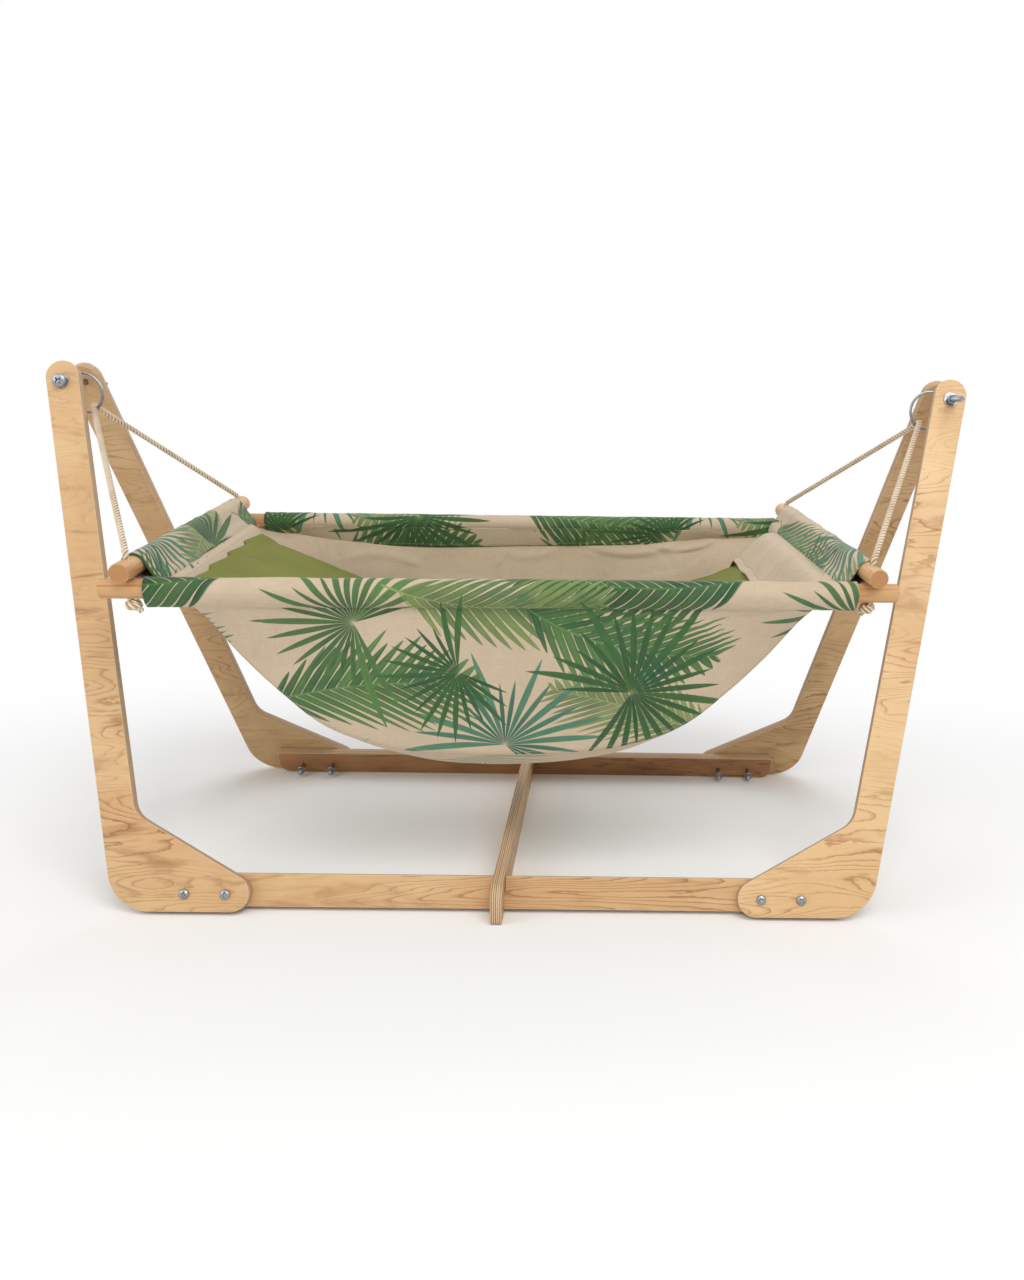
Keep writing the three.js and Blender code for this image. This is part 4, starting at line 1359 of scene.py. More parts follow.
@dataclass(frozen=True)
class Screw:
    """A pan-head bolt with a cross recess and a rolled thread. Metres, head upwards from z = 0."""

    shank: float
    length: float
    head: float
    head_height: float
    thread: float
    pitch: float
    cross: float

    def skin(self, sides: int = 60) -> Skin:
        """One surface of revolution from the head's crown to the thread's tip.

        The crown is a flattened dome less the recess: a plus whose arms' depth falls off with
        the radius. On the thread, the radius falls by a triangle wave of z / pitch − angle / turn.

        Args:
            sides: Steps round the axis.

        Returns:
            The closed skin.
        """
        turn = angles(sides)
        spread = np.linspace(0.02, 1, 26)[:, None]
        radius = self.head / 2 * spread
        x, y = radius * np.cos(turn), radius * np.sin(turn)
        narrow, wide = np.minimum(abs(x), abs(y)), np.maximum(abs(x), abs(y))
        arm = self.cross * 0.34 * (1 - 0.45 * np.clip(wide / self.cross, 0, 1))
        walls = smooth(-narrow, -arm - 0.00025, -arm + 0.00015)
        inside = walls * smooth(-wide, -self.cross * 1.06, -self.cross * 0.9)
        recess = inside * self.head_height * (0.75 - 0.4 * np.clip(wide / self.cross, 0, 1))
        dome = self.head_height * (1 - 0.42 * spread**2.6 - 0.1 * smooth(spread, 0.86, 1.0))
        crown = np.stack([np.broadcast_to(radius, x.shape), dome - recess], -1)
        low = self.head_height * 0.06
        rim = [(self.head / 2, self.head_height * 0.3), (self.head / 2, low), (self.head / 2 - low, 0.0)]
        plain = [(self.shank / 2, 0.0), (self.shank / 2, -self.length + self.thread)]
        steps = int(self.thread / self.pitch * 8)
        fall = np.linspace(-self.length + self.thread, -self.length + 0.0006, steps)[:, None]
        wave = abs((fall / self.pitch - turn / TAU) % 1 - 0.5) * 2
        cutting = smooth(-fall, self.length - self.thread, self.length - self.thread + 2 * self.pitch)
        bite = 0.6 * self.pitch * wave * cutting + 0.0005 * smooth(-fall, self.length - 0.0015, self.length)
        helix = np.stack([self.shank / 2 - bite, np.broadcast_to(fall, bite.shape)], -1)
        tip = [(self.shank / 2 - 0.0011, -self.length), (self.shank / 8, -self.length)]
        profile = np.concatenate([crown, carried(rim + plain, sides), helix, carried(tip, sides)])
        return grid_skin(spun(profile, turn), closed=(False, True), capped=True)


def carried(rows: Sequence[tuple[float, float]], sides: int) -> Array:
    """A profile of radius and height in (rows, sides, 2) form, the same at each angle."""
    return np.broadcast_to(np.array(rows)[:, None], (len(rows), sides, 2))


def spun(profile: Array, turn: Array) -> Array:
    """Places of a (rows, sides, 2) profile of radius and height at each angle of turn."""
    radius, height = profile[..., 0], profile[..., 1]
    return np.stack([radius * np.cos(turn), radius * np.sin(turn), height], -1)


def ring_skin(section: Array, sides: int) -> Skin:
    """A closed (rows, 2) or (rows, sides, 2) section of radius and height, carried round the axis.

    Args:
        section: The section, round and closed.
        sides: Steps round the axis.

    Returns:
        The closed skin.
    """
    if section.ndim == 2:
        section = carried(section, sides)
    turn = angles(sides)
    return grid_skin(spun(section, turn), closed=(True, True))


def washer_skin(outer: float, bore: float, height: float) -> Skin:
    """A flat ring with rounded edges, from z = 0 up.

    Args:
        outer: Outer diameter.
        bore: The hole's diameter.
        height: Its thickness.

    Returns:
        The closed skin.
    """
    soft = height * 0.3
    a, b = bore / 2, outer / 2
    section = np.array(
        [
            (a, height - soft), (a + soft, height), (b - soft, height), (b, height - soft),
            (b, soft), (b - soft, 0.0), (a + soft, 0.0), (a, soft),
        ]
    )
    return ring_skin(section, 64)


def nut_skin(flats: float, bore: float, height: float) -> Skin:
    """A hexagon nut from z = 0 up, its corners cut by a cone on both faces.

    At each angle the wall's radius is flats / 2 / cos(angle from the nearest flat's middle).

    Args:
        flats: Width across two opposite flats.
        bore: The hole's diameter.
        height: Its thickness.

    Returns:
        The closed skin.
    """
    sides, bevel = 72, 0.0005
    turn = angles(sides)
    wall = flats / 2 / np.cos((turn + math.pi / 6) % (math.pi / 3) - math.pi / 6)
    cone = np.full(sides, flats * 0.475)
    drop = (wall - cone) * math.tan(math.radians(30))
    inner = np.full(sides, bore / 2)
    lead = inner + bevel
    level, zero = np.full(sides, height), np.zeros(sides)
    rows = [
        (inner, level - bevel), (lead, level), (cone, level), (wall, level - drop),
        (wall, drop), (cone, zero), (lead, zero), (inner, zero + bevel),
    ]
    return ring_skin(np.stack([np.stack(row, -1) for row in rows]), sides)


@dataclass(frozen=True)
class Stand:
    """The plywood stand and its fasteners, in metres and radians."""

    finishes: dict[str, bpy.types.Material]
    ply: float = 0.015
    gap: float = 0.0003
    lean: float = math.radians(21)
    splay: float = math.radians(12.1)
    pivot_height: float = 0.685
    pivot_gap: float = 0.053
    pivot_x: float = 0.632
    leg_width: float = 0.045
    top_margin: float = 0.005
    heel_radius: float = 0.060
    bend_radius: float = 0.035
    toe_radius: float = 0.024
    foot_length: float = 0.176
    foot_slope: float = math.radians(29.3)
    rail_inset: float = 0.0483
    rail_height: float = 0.043
    rail_low: float = 0.0066
    rail_low_radius: float = 0.018
    rail_top_radius: float = 0.004
    brace_overhang: float = 0.0335
    brace_height: float = 0.050
    brace_x: float = 0.004
    brace_top_radius: float = 0.027
    brace_low_radius: float = 0.006
    notch_play: float = 0.0012
    hole_play: float = 0.0006
    rail_bolt: float = 0.006
    rail_bolt_toe: tuple[float, float] = (0.0842, 0.0307)
    rail_bolt_v: float = 0.023
    rail_head: float = 0.0125
    rail_head_height: float = 0.004
    rail_nut: float = 0.010
    rail_nut_height: float = 0.005
    rail_washer: float = 0.014
    rail_washer_height: float = 0.0014
    rail_reach: float = 0.005
    pivot_bolt: float = 0.008
    pivot_head: float = 0.019
    pivot_head_height: float = 0.006
    pivot_nut: float = 0.013
    pivot_nut_height: float = 0.0065
    pivot_washer: float = 0.021
    pivot_washer_height: float = 0.0016
    pivot_reach: float = 0.038

    @property
    def foot_y(self) -> float:
        """Distance of each half's lower edge from the middle of the stand."""
        return self.pivot_gap / 2 + self.pivot_height * math.tan(self.lean)

    def pivot_v(self, outward: float) -> float:
        """Where the pivot bolt crosses a half, that far outside the inside face of its legs."""
        return (self.pivot_height - outward * math.sin(self.lean)) / math.cos(self.lean)

    @property
    def heel_x(self) -> float:
        """Where a leg's outer edge, drawn on, meets its lower edge."""
        middle = self.pivot_x - self.pivot_v(self.ply / 2) * math.tan(self.splay)
        return middle + self.leg_width / 2 / math.cos(self.splay)

    @property
    def rail_bolt_x(self) -> list[float]:
        """The four bolts of a half, from left to right."""
        right = [self.heel_x - self.foot_length + toe for toe in self.rail_bolt_toe]
        return sorted([-x for x in right] + right)

    def half(self, half: Half) -> Place:
        """A leaning half: x along the rail, y up the lean and z outwards. The back one is the
        front one turned about the vertical.

        Args:
            half: Front or back.

        Returns:
            The half's place.
        """
        sine, cosine = math.sin(self.lean), math.cos(self.lean)
        turn = -half.way
        return Place(
            np.array([0.0, -turn * self.foot_y, 0.0]),
            np.array([[turn, 0, 0], [0, turn * sine, cosine], [0, -turn * cosine, sine]], float),
        )

    def leg_outline(self) -> Array:
        """The right leg of a half: an L with a round top, a large heel and a round toe.

        Returns:
            Its points in the plane of the half.
        """
        along = np.array([math.sin(self.splay), math.cos(self.splay)])
        across = np.array([along[1], -along[0]])
        width = self.leg_width / 2
        top = np.array([self.pivot_x, self.pivot_v(self.ply / 2)]) + along * (self.top_margin + width)
        outer, inner = top + across * width, top - across * width
        wedge = self.heel_x - self.foot_length + self.toe_radius
        wedge -= self.toe_radius / math.tan(self.foot_slope / 2)
        slope, tilt = math.tan(self.foot_slope), math.tan(self.splay)
        foot = inner[0] - inner[1] * tilt
        bend = (foot - wedge) * slope / (1 - slope * tilt)
        end = width - 0.00005
        return rounded_outline(
            [
                (wedge, 0.0, self.toe_radius), (self.heel_x, 0.0, self.heel_radius), (*outer, end),
                (*inner, end), (foot + bend * tilt, bend, self.bend_radius),
            ]
        )

    def leg(self, half: Half, end: End) -> None:
        """One leg. The bolt's hole runs along the world's y, so it drifts down the board's depth.

        Args:
            half: Front or back.
            end: Left or right.
        """
        outline = self.leg_outline()
        drawn = end.way * -half.way
        holes = [hole_outline(x, self.rail_bolt_v, (self.rail_bolt + self.hole_play) / 2)
                 for x in self.rail_bolt_x if x > 0]
        bore = (self.pivot_bolt + self.hole_play) / 2
        holes.append(hole_outline(self.pivot_x, self.pivot_v(self.ply / 2), bore, 1 / math.cos(self.lean)))
        loops = [outline, *holes]
        if drawn < 0:
            loops = [loop[::-1] * (-1, 1) for loop in loops]
        drift = (0.0, 0.0, -math.tan(self.lean))
        board = Board(loops[0], tuple(loops[1:]), drift, self.ply)
        self.place_board(f"{half.value}_{end.value}_leg", board, half, f"leg_{half.value}_{end.value}")

    def place_board(self, name: str, board: Board, half: Half, node: str, low: float = 0.0) -> None:
        """Puts a board into a leaning half, from that far outside the legs' inside face.

        Its CAD node and its finish have the same name.

        Args:
            name: The piece's name.
            board: The board.
            half: The half that it is in.
            node: Its CAD node.
            low: The distance.
        """
        skin, fields = board.skin()
        skin.points[:, 2] += low
        place = self.half(half)
        make_piece(name, skin, self.finishes[node], "stand", [node], place, fields, 40)

    def rail(self, half: Half) -> None:
        """A rail with a notch for the brace from above.

        Args:
            half: Front or back.
        """
        reach = self.heel_x - self.rail_inset
        high = self.rail_low + self.rail_height
        floor = self.rail_low + self.rail_height / 2
        middle = -half.way * self.brace_x
        left, right = (middle + side * (self.ply / 2 + self.notch_play) for side in (-1, 1))
        outline = rounded_outline(
            [
                (-reach, self.rail_low, self.rail_low_radius), (reach, self.rail_low, self.rail_low_radius),
                (reach, high, self.rail_top_radius), (right, high, 0), (right, floor, 0), (left, floor, 0),
                (left, high, 0), (-reach, high, self.rail_top_radius),
            ]
        )
        bore = (self.rail_bolt + self.hole_play) / 2
        holes = tuple(hole_outline(x, self.rail_bolt_v, bore) for x in self.rail_bolt_x)
        board = Board(outline, holes, (0.0,) * len(holes), self.ply)
        low = -self.ply - self.gap
        self.place_board(f"{half.value}_rail", board, half, f"rail_{half.value}", low)

    def brace(self) -> None:
        """The brace on edge across the stand, with two slots from below that take the rails."""
        reach = self.foot_y + self.brace_overhang
        sine, cosine = math.sin(self.lean), math.cos(self.lean)
        root = self.rail_low + self.rail_height / 2 + self.gap

        def place(v: float, outward: float, side: int) -> tuple[float, float, float]:
            """A point of a leaning half in the brace's own drawing."""
            return (side * (self.foot_y - v * sine + outward * cosine), v * cosine + outward * sine, 0.0)

        deep = -self.ply - 2 * self.gap
        mouths = [(-outward * math.tan(self.lean), outward) for outward in (0.0, deep)]
        front = [place(*mouths[0], -1), place(root, 0.0, -1), place(root, deep, -1), place(*mouths[1], -1)]
        back = [(-x, y, r) for x, y, r in front[::-1]]
        outline = rounded_outline(
            [
                (-reach, 0.0, self.brace_low_radius), *front, *back, (reach, 0.0, self.brace_low_radius),
                (reach, self.brace_height, self.brace_top_radius),
                (-reach, self.brace_height, self.brace_top_radius),
            ]
        )
        skin, fields = Board(outline, (), (), self.ply).skin()
        axes = np.array([[0, 1, 0], [0, 0, 1], [1, 0, 0]], float)
        place_at = Place(np.array([self.brace_x - self.ply / 2, 0, 0]), axes)
        make_piece("brace", skin, self.finishes["brace"], "stand", ["cross_brace"],
                   place_at, fields, 40)

    def fastener(self, name: str, skin: Skin, at: Place, node: str, sharp: float) -> None:
        """One metal piece that stands for its CAD node."""
        make_piece(name, skin, self.finishes["zinc"], "stand", [node], at, None, sharp)

    def rail_fasteners(self, half: Half) -> None:
        """Bolts with heads outside, washers and nuts on the inside face of the rail.

        Args:
            half: Front or back.
        """
        place = self.half(half)
        seat = -2 * self.ply - 2 * self.gap
        nut_seat = seat - self.rail_washer_height - self.gap
        length = self.ply + self.gap - nut_seat + self.rail_nut_height + self.rail_reach
        bolt = Screw(
            self.rail_bolt, length, self.rail_head, self.rail_head_height,
            thread=0.016, pitch=0.001, cross=0.0033,
        )
        bore = self.rail_bolt + self.hole_play
        washer = washer_skin(self.rail_washer, bore, self.rail_washer_height)
        nut = nut_skin(self.rail_nut, bore, self.rail_nut_height)
        levels = {
            "bolt": (bolt.skin(), self.ply + self.gap, 40),
            "washer": (washer, seat - self.rail_washer_height, 40),
            "nut": (nut, nut_seat - self.rail_nut_height, 25),
        }
        for i, x in enumerate(self.rail_bolt_x):
            for k, (kind, (skin, level, sharp)) in enumerate(levels.items()):
                # Each fastener has come to rest at its own angle.
                angle = 0.7 + 1.9 * i + k + half.way
                cosine, sine = math.cos(angle), math.sin(angle)
                turn = np.array([[cosine, sine, 0], [-sine, cosine, 0], [0, 0, 1]])
                at = Place(place.world(np.array([x, self.rail_bolt_v, level])), turn @ place.axes)
                label = f"{half.value}_{i + 1}"
                self.fastener(f"{half.value}_rail_{kind}_{i + 1}", skin, at, f"rail_{kind}_{label}", sharp)

    def pivots(self) -> None:
        """The two long bolts. The left one has its head in front, the right one its nut."""
        outer = self.foot_y - self.pivot_v(self.ply) * math.sin(self.lean) + self.ply * math.cos(self.lean)
        washer_face = outer + (self.gap + self.pivot_washer_height) / math.cos(self.lean) + self.gap
        head_seat = washer_face + self.pivot_head / 2 * math.tan(self.lean)
        nut_seat = washer_face + self.pivot_nut / math.sqrt(3) * math.tan(self.lean)
        length = head_seat + nut_seat + self.pivot_nut_height + self.pivot_reach
        bolt = Screw(
            self.pivot_bolt, length, self.pivot_head, self.pivot_head_height,
            thread=0.058, pitch=0.00125, cross=0.0046,
        ).skin(72)
        bore = self.pivot_bolt + self.hole_play
        nut = nut_skin(self.pivot_nut, bore, self.pivot_nut_height)
        washer = washer_skin(self.pivot_washer, bore, self.pivot_washer_height)
        face = self.ply + self.gap
        for end in End:
            away = np.array([0.0, float(end.way), 0.0])
            axes = np.array([[1.0, 0, 0], np.cross(away, [1.0, 0, 0]), away])
            # A turn whose cosine and sine are 0.8 and 0.6.
            turn = np.array([[0.8, 0.6, 0], [-0.6, 0.8, 0], [0, 0, 1]])
            pivot = np.array([end.way * self.pivot_x, 0.0, self.pivot_height])
            at = Place(pivot + away * head_seat, turn @ axes)
            self.fastener(f"{end.value}_pivot_bolt", bolt, at, f"pivot_bolt_{end.value}", 40)
            at = Place(pivot - away * (nut_seat + self.pivot_nut_height), turn @ axes)
            self.fastener(f"{end.value}_pivot_nut", nut, at, f"pivot_nut_{end.value}", 25)
            for half in Half:
                place = self.half(half)
                level = self.pivot_v(face + self.pivot_washer_height / 2)
                spot = np.array([end.way * -half.way * self.pivot_x, level, face])
                at = Place(place.world(spot), place.axes)
                label = f"{half.value}_{end.value}"
                self.fastener(f"{label}_pivot_washer", washer, at, f"pivot_washer_{label}", 40)

    def build(self) -> None:
        """All pieces of the stand."""
        for half in Half:
            for end in End:
                self.leg(half, end)
            self.rail(half)
            self.rail_fasteners(half)
        self.brace()
        self.pivots()


# SLING


@dataclass(frozen=True)
class SlingPlan:
    """Sizes and curves of the sling, drawn about the plane where its dowels touch. Metres."""

    centre: tuple[float, float, float] = (0.003, -0.0067, 0.4605)
    tilt: float = math.radians(3.85)
    yaw: float = math.radians(3.7)
    gap: float = 0.0003
    dowel: float = 0.025
    long_dowel: float = 1.010
    short_dowel: float = 0.568
    corner_x: float = 0.470
    corner_y: float = 0.254
    pivot_x: float = 0.632
    pivot_height: float = 0.685
    pivot_bolt: float = 0.008
    rope: float = 0.008
    ring_wire: float = 0.004
    ring_outer: float = 0.060
    ring_slide: float = 0.012
    sleeve_depth: float = 0.024
    end_sleeve_depth: float = 0.046
    sleeve_wall: float = 0.0018
    long_sleeve: float = 0.900
    short_sleeve: float = 0.470
    belt_half: float = 0.2132
    panel_half: float = 0.21465
    slope: float = math.radians(42.7)
    bed_depth: float = 0.250
    belly: float = 0.055
    belly_end: float = 0.85
    bed_shift: float = -0.009

    @property
    def place(self) -> Place:
        """The sling hangs tilted about x, and turned about the vertical."""
        turn = np.array(Matrix.Rotation(self.yaw, 3, "Z") @ Matrix.Rotation(self.tilt, 3, "X"))
        return Place(np.array(self.centre), turn.T)

    @property
    def layer(self) -> float:
        """Height of the short dowels' axes, and depth of the long ones'."""
        return (self.dowel + self.gap) / 2

    @property
    def tail(self) -> tuple[float, float]:
        """x and z where the belt meets a short sleeve's seam."""
        reach = self.end_sleeve_depth + 1.5 * self.gap
        return self.corner_x - reach * math.cos(self.slope), self.layer - reach * math.sin(self.slope)

    def seam_line(self) -> Array:
        """(n, 3) of length share, x and z along the seam between belt and panels.

        A centripetal spline through seven shares of the bed's half length and depth and their
        mirror images. Each piece is a cubic whose end slopes come from chord lengths to the
        power of a half. The line then moves along x by shift · (1 − share²).

        Returns:
            The line's points, from left to right.
        """
        shares = np.array([[1, 0], [0.902, -0.154], [0.791, -0.404], [0.681, -0.617], [0.551, -0.821],
                           [0.353, -0.955]])
        tail_x, tail_z = self.tail
        half = shares * (tail_x, self.bed_depth + tail_z) + (0, tail_z)
        knots = np.concatenate([half * (-1, 1), [[0, -self.bed_depth]], half[::-1]])
        ends = 2 * knots[[0, -1]] - knots[[1, -2]]
        knots = np.concatenate([ends[:1], knots, ends[1:]])
        a, b, c, d = knots[:-3], knots[1:-2], knots[2:-1], knots[3:]
        step = np.linalg.norm(np.diff(knots, axis=0), axis=1)[:, None] ** 0.5
        p, q, r = step[:-2], step[1:-1], step[2:]
        leave = ((b - a) / p - (c - a) / (p + q) + (c - b) / q) * q
        reach = ((c - b) / q - (d - b) / (q + r) + (d - c) / r) * q
        t = np.linspace(0, 1, 60, endpoint=False)[None, :, None]
        b, c, leave, reach = (part[:, None] for part in (b, c, leave, reach))
        line = b + leave * t + (3 * (c - b) - 2 * leave - reach) * t**2 + (2 * (b - c) + leave + reach) * t**3
        line = np.concatenate([line.reshape(-1, 2), knots[-2:-1]])
        length = lengths(line)
        line[:, 0] += self.bed_shift * (1 - (line[:, 0] / tail_x) ** 2)
        return np.column_stack([length / length[-1], line])

    def seam(self, share: Array) -> tuple[Array, Array]:
        """x and z on the seam at a share of its length from the left end."""
        line = self.seam_line()
        return np.interp(share, line[:, 0], line[:, 1]), np.interp(share, line[:, 0], line[:, 2])

    def share_at(self, x: Array) -> Array:
        """The share of the seam's length at an x."""
        line = self.seam_line()
        return np.interp(x, line[:, 1], line[:, 0])

    def ahead(self, share: Array) -> Array:
        """The seam line's direction, as x and z, at a share of its length."""
        step = 0.004
        return unit(np.stack(self.seam(share + step), -1) - np.stack(self.seam(share - step), -1))

    def belt(self, share: Array, across: Array) -> Array:
        """A place on the belt's middle surface, across from -1 at the front to 1 at the back.

        The belt hangs square outside the seam line by belly · (1 − (x / end)²)^1.5 · (1 − t⁴).

        Args:
            share: Share of the seam's length.
            across: Place across it.

        Returns:
            The place in the sling's drawing.
        """
        x, z = self.seam(share)
        ahead = self.ahead(share)
        part = np.clip(1 - (x / (self.belly_end * self.tail[0])) ** 2, 0, 1)
        fall = self.belly * part**1.5 * (1 - np.abs(across) ** 4)
        return np.stack([x + ahead[..., 1] * fall, across * self.belt_half, z - ahead[..., 0] * fall], -1)

    def ring_centre(self, end: End) -> tuple[Array, Array]:
        """A ring's centre in the row frame, and the direction in which its rope pulls.

        Args:
            end: Left or right.

        Returns:
            The centre and the direction.
        """
        corners = np.array([[end.way * self.corner_x, side * self.corner_y, self.dowel] for side in (-1, 1)])
        middle = self.place.world(corners).mean(0)
        bolt = np.array([end.way * self.pivot_x, end.way * self.ring_slide, self.pivot_height])
        pull = unit((middle - bolt) * (1, 0, 1))
        hang = self.ring_outer / 2 - self.ring_wire - self.pivot_bolt / 2 - self.gap
        return bolt + pull * hang, pull


PLAN = SlingPlan()
DOWN = np.array([0.0, 0.0, -1.0])


@dataclass(frozen=True)
class Rod:
    """A dowel with rope holes near both ends. Drawn along x, its holes along z."""

    length: float
    diameter: float
    hole_at: float
    hole: float
    edge: float = 0.0014

    def mesh(self, name: str) -> bpy.types.Mesh:
        """A turned rod with rounded ends, drilled by a Boolean modifier that is applied.

        Args:
            name: The mesh's name.

        Returns:
            The mesh.
        """
        a = np.linspace(0, math.pi / 2, 5)
        radius = self.diameter / 2 - self.edge * (1 - np.sin(a))
        height = self.length / 2 - self.edge * (1 - np.cos(a))
        rows = np.stack([radius, height], 1)
        rows = np.concatenate([[[radius[0] * 0.5, self.length / 2]], rows])
        profile = np.concatenate([rows * (1, -1), rows[::-1]])
        sides = 64
        turn = angles(sides)
        rod = spun(carried(profile, sides), turn)[..., [2, 0, 1]]
        body = self.solid(name, grid_skin(rod, closed=(False, True), capped=True, flip=True))
        drill_sides = 40
        drill_turn = angles(drill_sides)
        drills = []
        for side in (-1, 1):
            wall = np.array([[self.hole / 2, -self.diameter], [self.hole / 2, self.diameter]])
            drill = spun(carried(wall, drill_sides), drill_turn) + (side * self.hole_at, 0, 0)
            drills.append(grid_skin(drill, closed=(False, True), capped=True, flip=True))
        cutter = self.solid(name + "_drill", Skin.joined(drills))
        cut = body.modifiers.new("drill", "BOOLEAN")
        cut.operation = "DIFFERENCE"
        cut.solver = "EXACT"
        cut.object = cutter
        bpy.context.view_layer.update()
        mesh = applied(body)
        bpy.data.objects.remove(cutter)
        bpy.data.objects.remove(body)
        return mesh

    @staticmethod
    def solid(name: str, skin: Skin) -> bpy.types.Object:
        """A bare object for cutting.

        Args:
            name: The object's name.
            skin: Its surface.

        Returns:
            The object.
        """
        mesh = bpy.data.meshes.new(name)
        mesh.from_pydata(skin.points.tolist(), [], [f for group in skin.faces for f in group.tolist()])
        return link_object(name, mesh)


@dataclass(frozen=True)
class Dowels:
    """The four dowels of the sling: two long ones below, two short ones lying on them."""

    finishes: dict[str, bpy.types.Material]

    def build(self) -> None:
        """All four, with their attributes taken from the drawing before it is placed."""
        for half in Half:
            at = np.array([0, half.way * PLAN.corner_y, -PLAN.layer])
            self.dowel(f"long_dowel_{half.value}", PLAN.long_dowel, PLAN.corner_x, at, np.eye(3))
        for end in End:
            at = np.array([end.way * PLAN.corner_x, 0, PLAN.layer])
            turned = np.array([[0, 1, 0], [-1, 0, 0], [0, 0, 1]], float)
            self.dowel(f"short_dowel_{end.value}", PLAN.short_dowel, PLAN.corner_y, at, turned)

    def dowel(self, node: str, length: float, hole_at: float, at: Array, axes: Array) -> None:
        """One dowel, which stands for its CAD node.

        Args:
            node: The CAD node.
            length: Its length.
            hole_at: Distance of a hole from its middle.
            at: Its middle in the sling's drawing.
            axes: Its own directions there.
        """
        words = node.split("_")
        name = f"{words[2]}_{words[0]}_rod"
        mesh = Rod(length, PLAN.dowel, hole_at, PLAN.rope + 0.001).mesh(name)
        drawn = mesh_points(mesh)
        set_points(mesh, PLAN.place.world(at + drawn @ axes))
        set_field(mesh, "board", drawn)
        rim = 0.0012
        inner = np.linalg.norm(drawn[:, 1:], axis=1) < PLAN.dowel / 2 - rim
        set_field(mesh, "edge", (np.abs(drawn[:, 0]) > length / 2 - rim) & inner)
        mesh.materials.clear()
        mesh.materials.append(self.finishes[node])
        shade(mesh, 35)
        mesh.update()
        piece = link_object(name, mesh)
        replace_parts(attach(piece, "sling"), node)
        log.info("%s: %d faces", name, len(mesh.polygons))


def arc_points(centre: Array, start: Array, stop: Array, radius: float, turns: int) -> Array:
    """Points of an arc round a centre that turns a path from one direction to another.

    Args:
        centre: The arc's centre.
        start: Direction of the path before the arc.
        stop: Its direction after the arc.
        radius: The arc's radius.
        turns: Number of steps.

    Returns:
        The points along the arc.
    """
    angle = math.acos(float(np.clip(start @ stop, -1, 1)))
    axis = unit(np.cross(start, stop))
    spoke = -unit(np.cross(axis, start)) * radius
    turn = np.linspace(0, angle, turns + 1)[:, None]
    return centre + spoke * np.cos(turn) + np.cross(axis, spoke) * np.sin(turn)


def evenly(line: Array, step: float) -> Array:
    """A path again, with points about that far apart.

    Args:
        line: The path.
        step: The distance.

    Returns:
        The new points.
    """
    length = lengths(line)
    at = np.linspace(0, length[-1], math.ceil(length[-1] / step) + 1)
    return sampled(at, length, line)


def softened(line: Array, rounds: int) -> Array:
    """A path whose inner points move to the mean of themselves and their neighbours.

    Args:
        line: The path.
        rounds: How often they move.

    Returns:
        The new points.
    """
    for _ in range(rounds):
        line = np.concatenate([line[:1], (line[:-2] + 2 * line[1:-1] + line[2:]) / 4, line[-1:]])
    return line


@dataclass(frozen=True)
class Twist:
    """Three-strand twisted cotton rope.

    Attributes:
        diameter: Of the whole rope, in metres.
        lay: Length in which a strand goes once round.
        circle: Radius on which the strands' middles wind, as a share of the diameter.
        strand: Radius of a strand, as a share of the diameter.
        tip: How much slimmer a strand's cut ends are.
    """

    diameter: float
    lay: float = 0.0175
    circle: float = 0.245
    strand: float = 0.275
    tip: float = 0.55

    def skin(self, path: Array, side: Array, sides: int = 12) -> Skin:
        """Each strand's middle winds round the path, and its round wall is carried along it
        square to its own direction.

        Args:
            path: (n, 3) evenly spaced points of the rope's middle.
            side: A direction that the path never runs along.
            sides: Points round each strand.

        Returns:
            Three closed tubes, their flat coordinates metres along and turns round.
        """
        ahead = unit(np.gradient(path, axis=0))
        across = unit(side - (ahead @ side)[:, None] * ahead)
        over = np.cross(ahead, across)
        length = lengths(path)
        turn = angles(sides)
        strands = []
        for k in range(3):
            angle = (length / self.lay + k / 3)[:, None] * TAU
            spoke = across * np.cos(angle) + over * np.sin(angle)
            middle = path + spoke * self.diameter * self.circle
            along = unit(np.gradient(middle, axis=0))
            out = unit(spoke - (spoke * along).sum(1, keepdims=True) * along)
            other = np.cross(along, out)
            wall = out[:, None] * np.cos(turn)[None, :, None] + other[:, None] * np.sin(turn)[None, :, None]
            swell = np.ones(len(path))
            swell[[0, -1]] = self.tip
            points = middle[:, None] + wall * (self.diameter * self.strand * swell)[:, None, None]
            flat = np.stack(
                np.broadcast_arrays(length[:, None] + k * 0.37, np.linspace(0, 1, sides + 1)[None, :]), -1
            )
            strands.append(grid_skin(points, flat, closed=(False, True), capped=True, flip=True))
        return Skin.joined(strands)


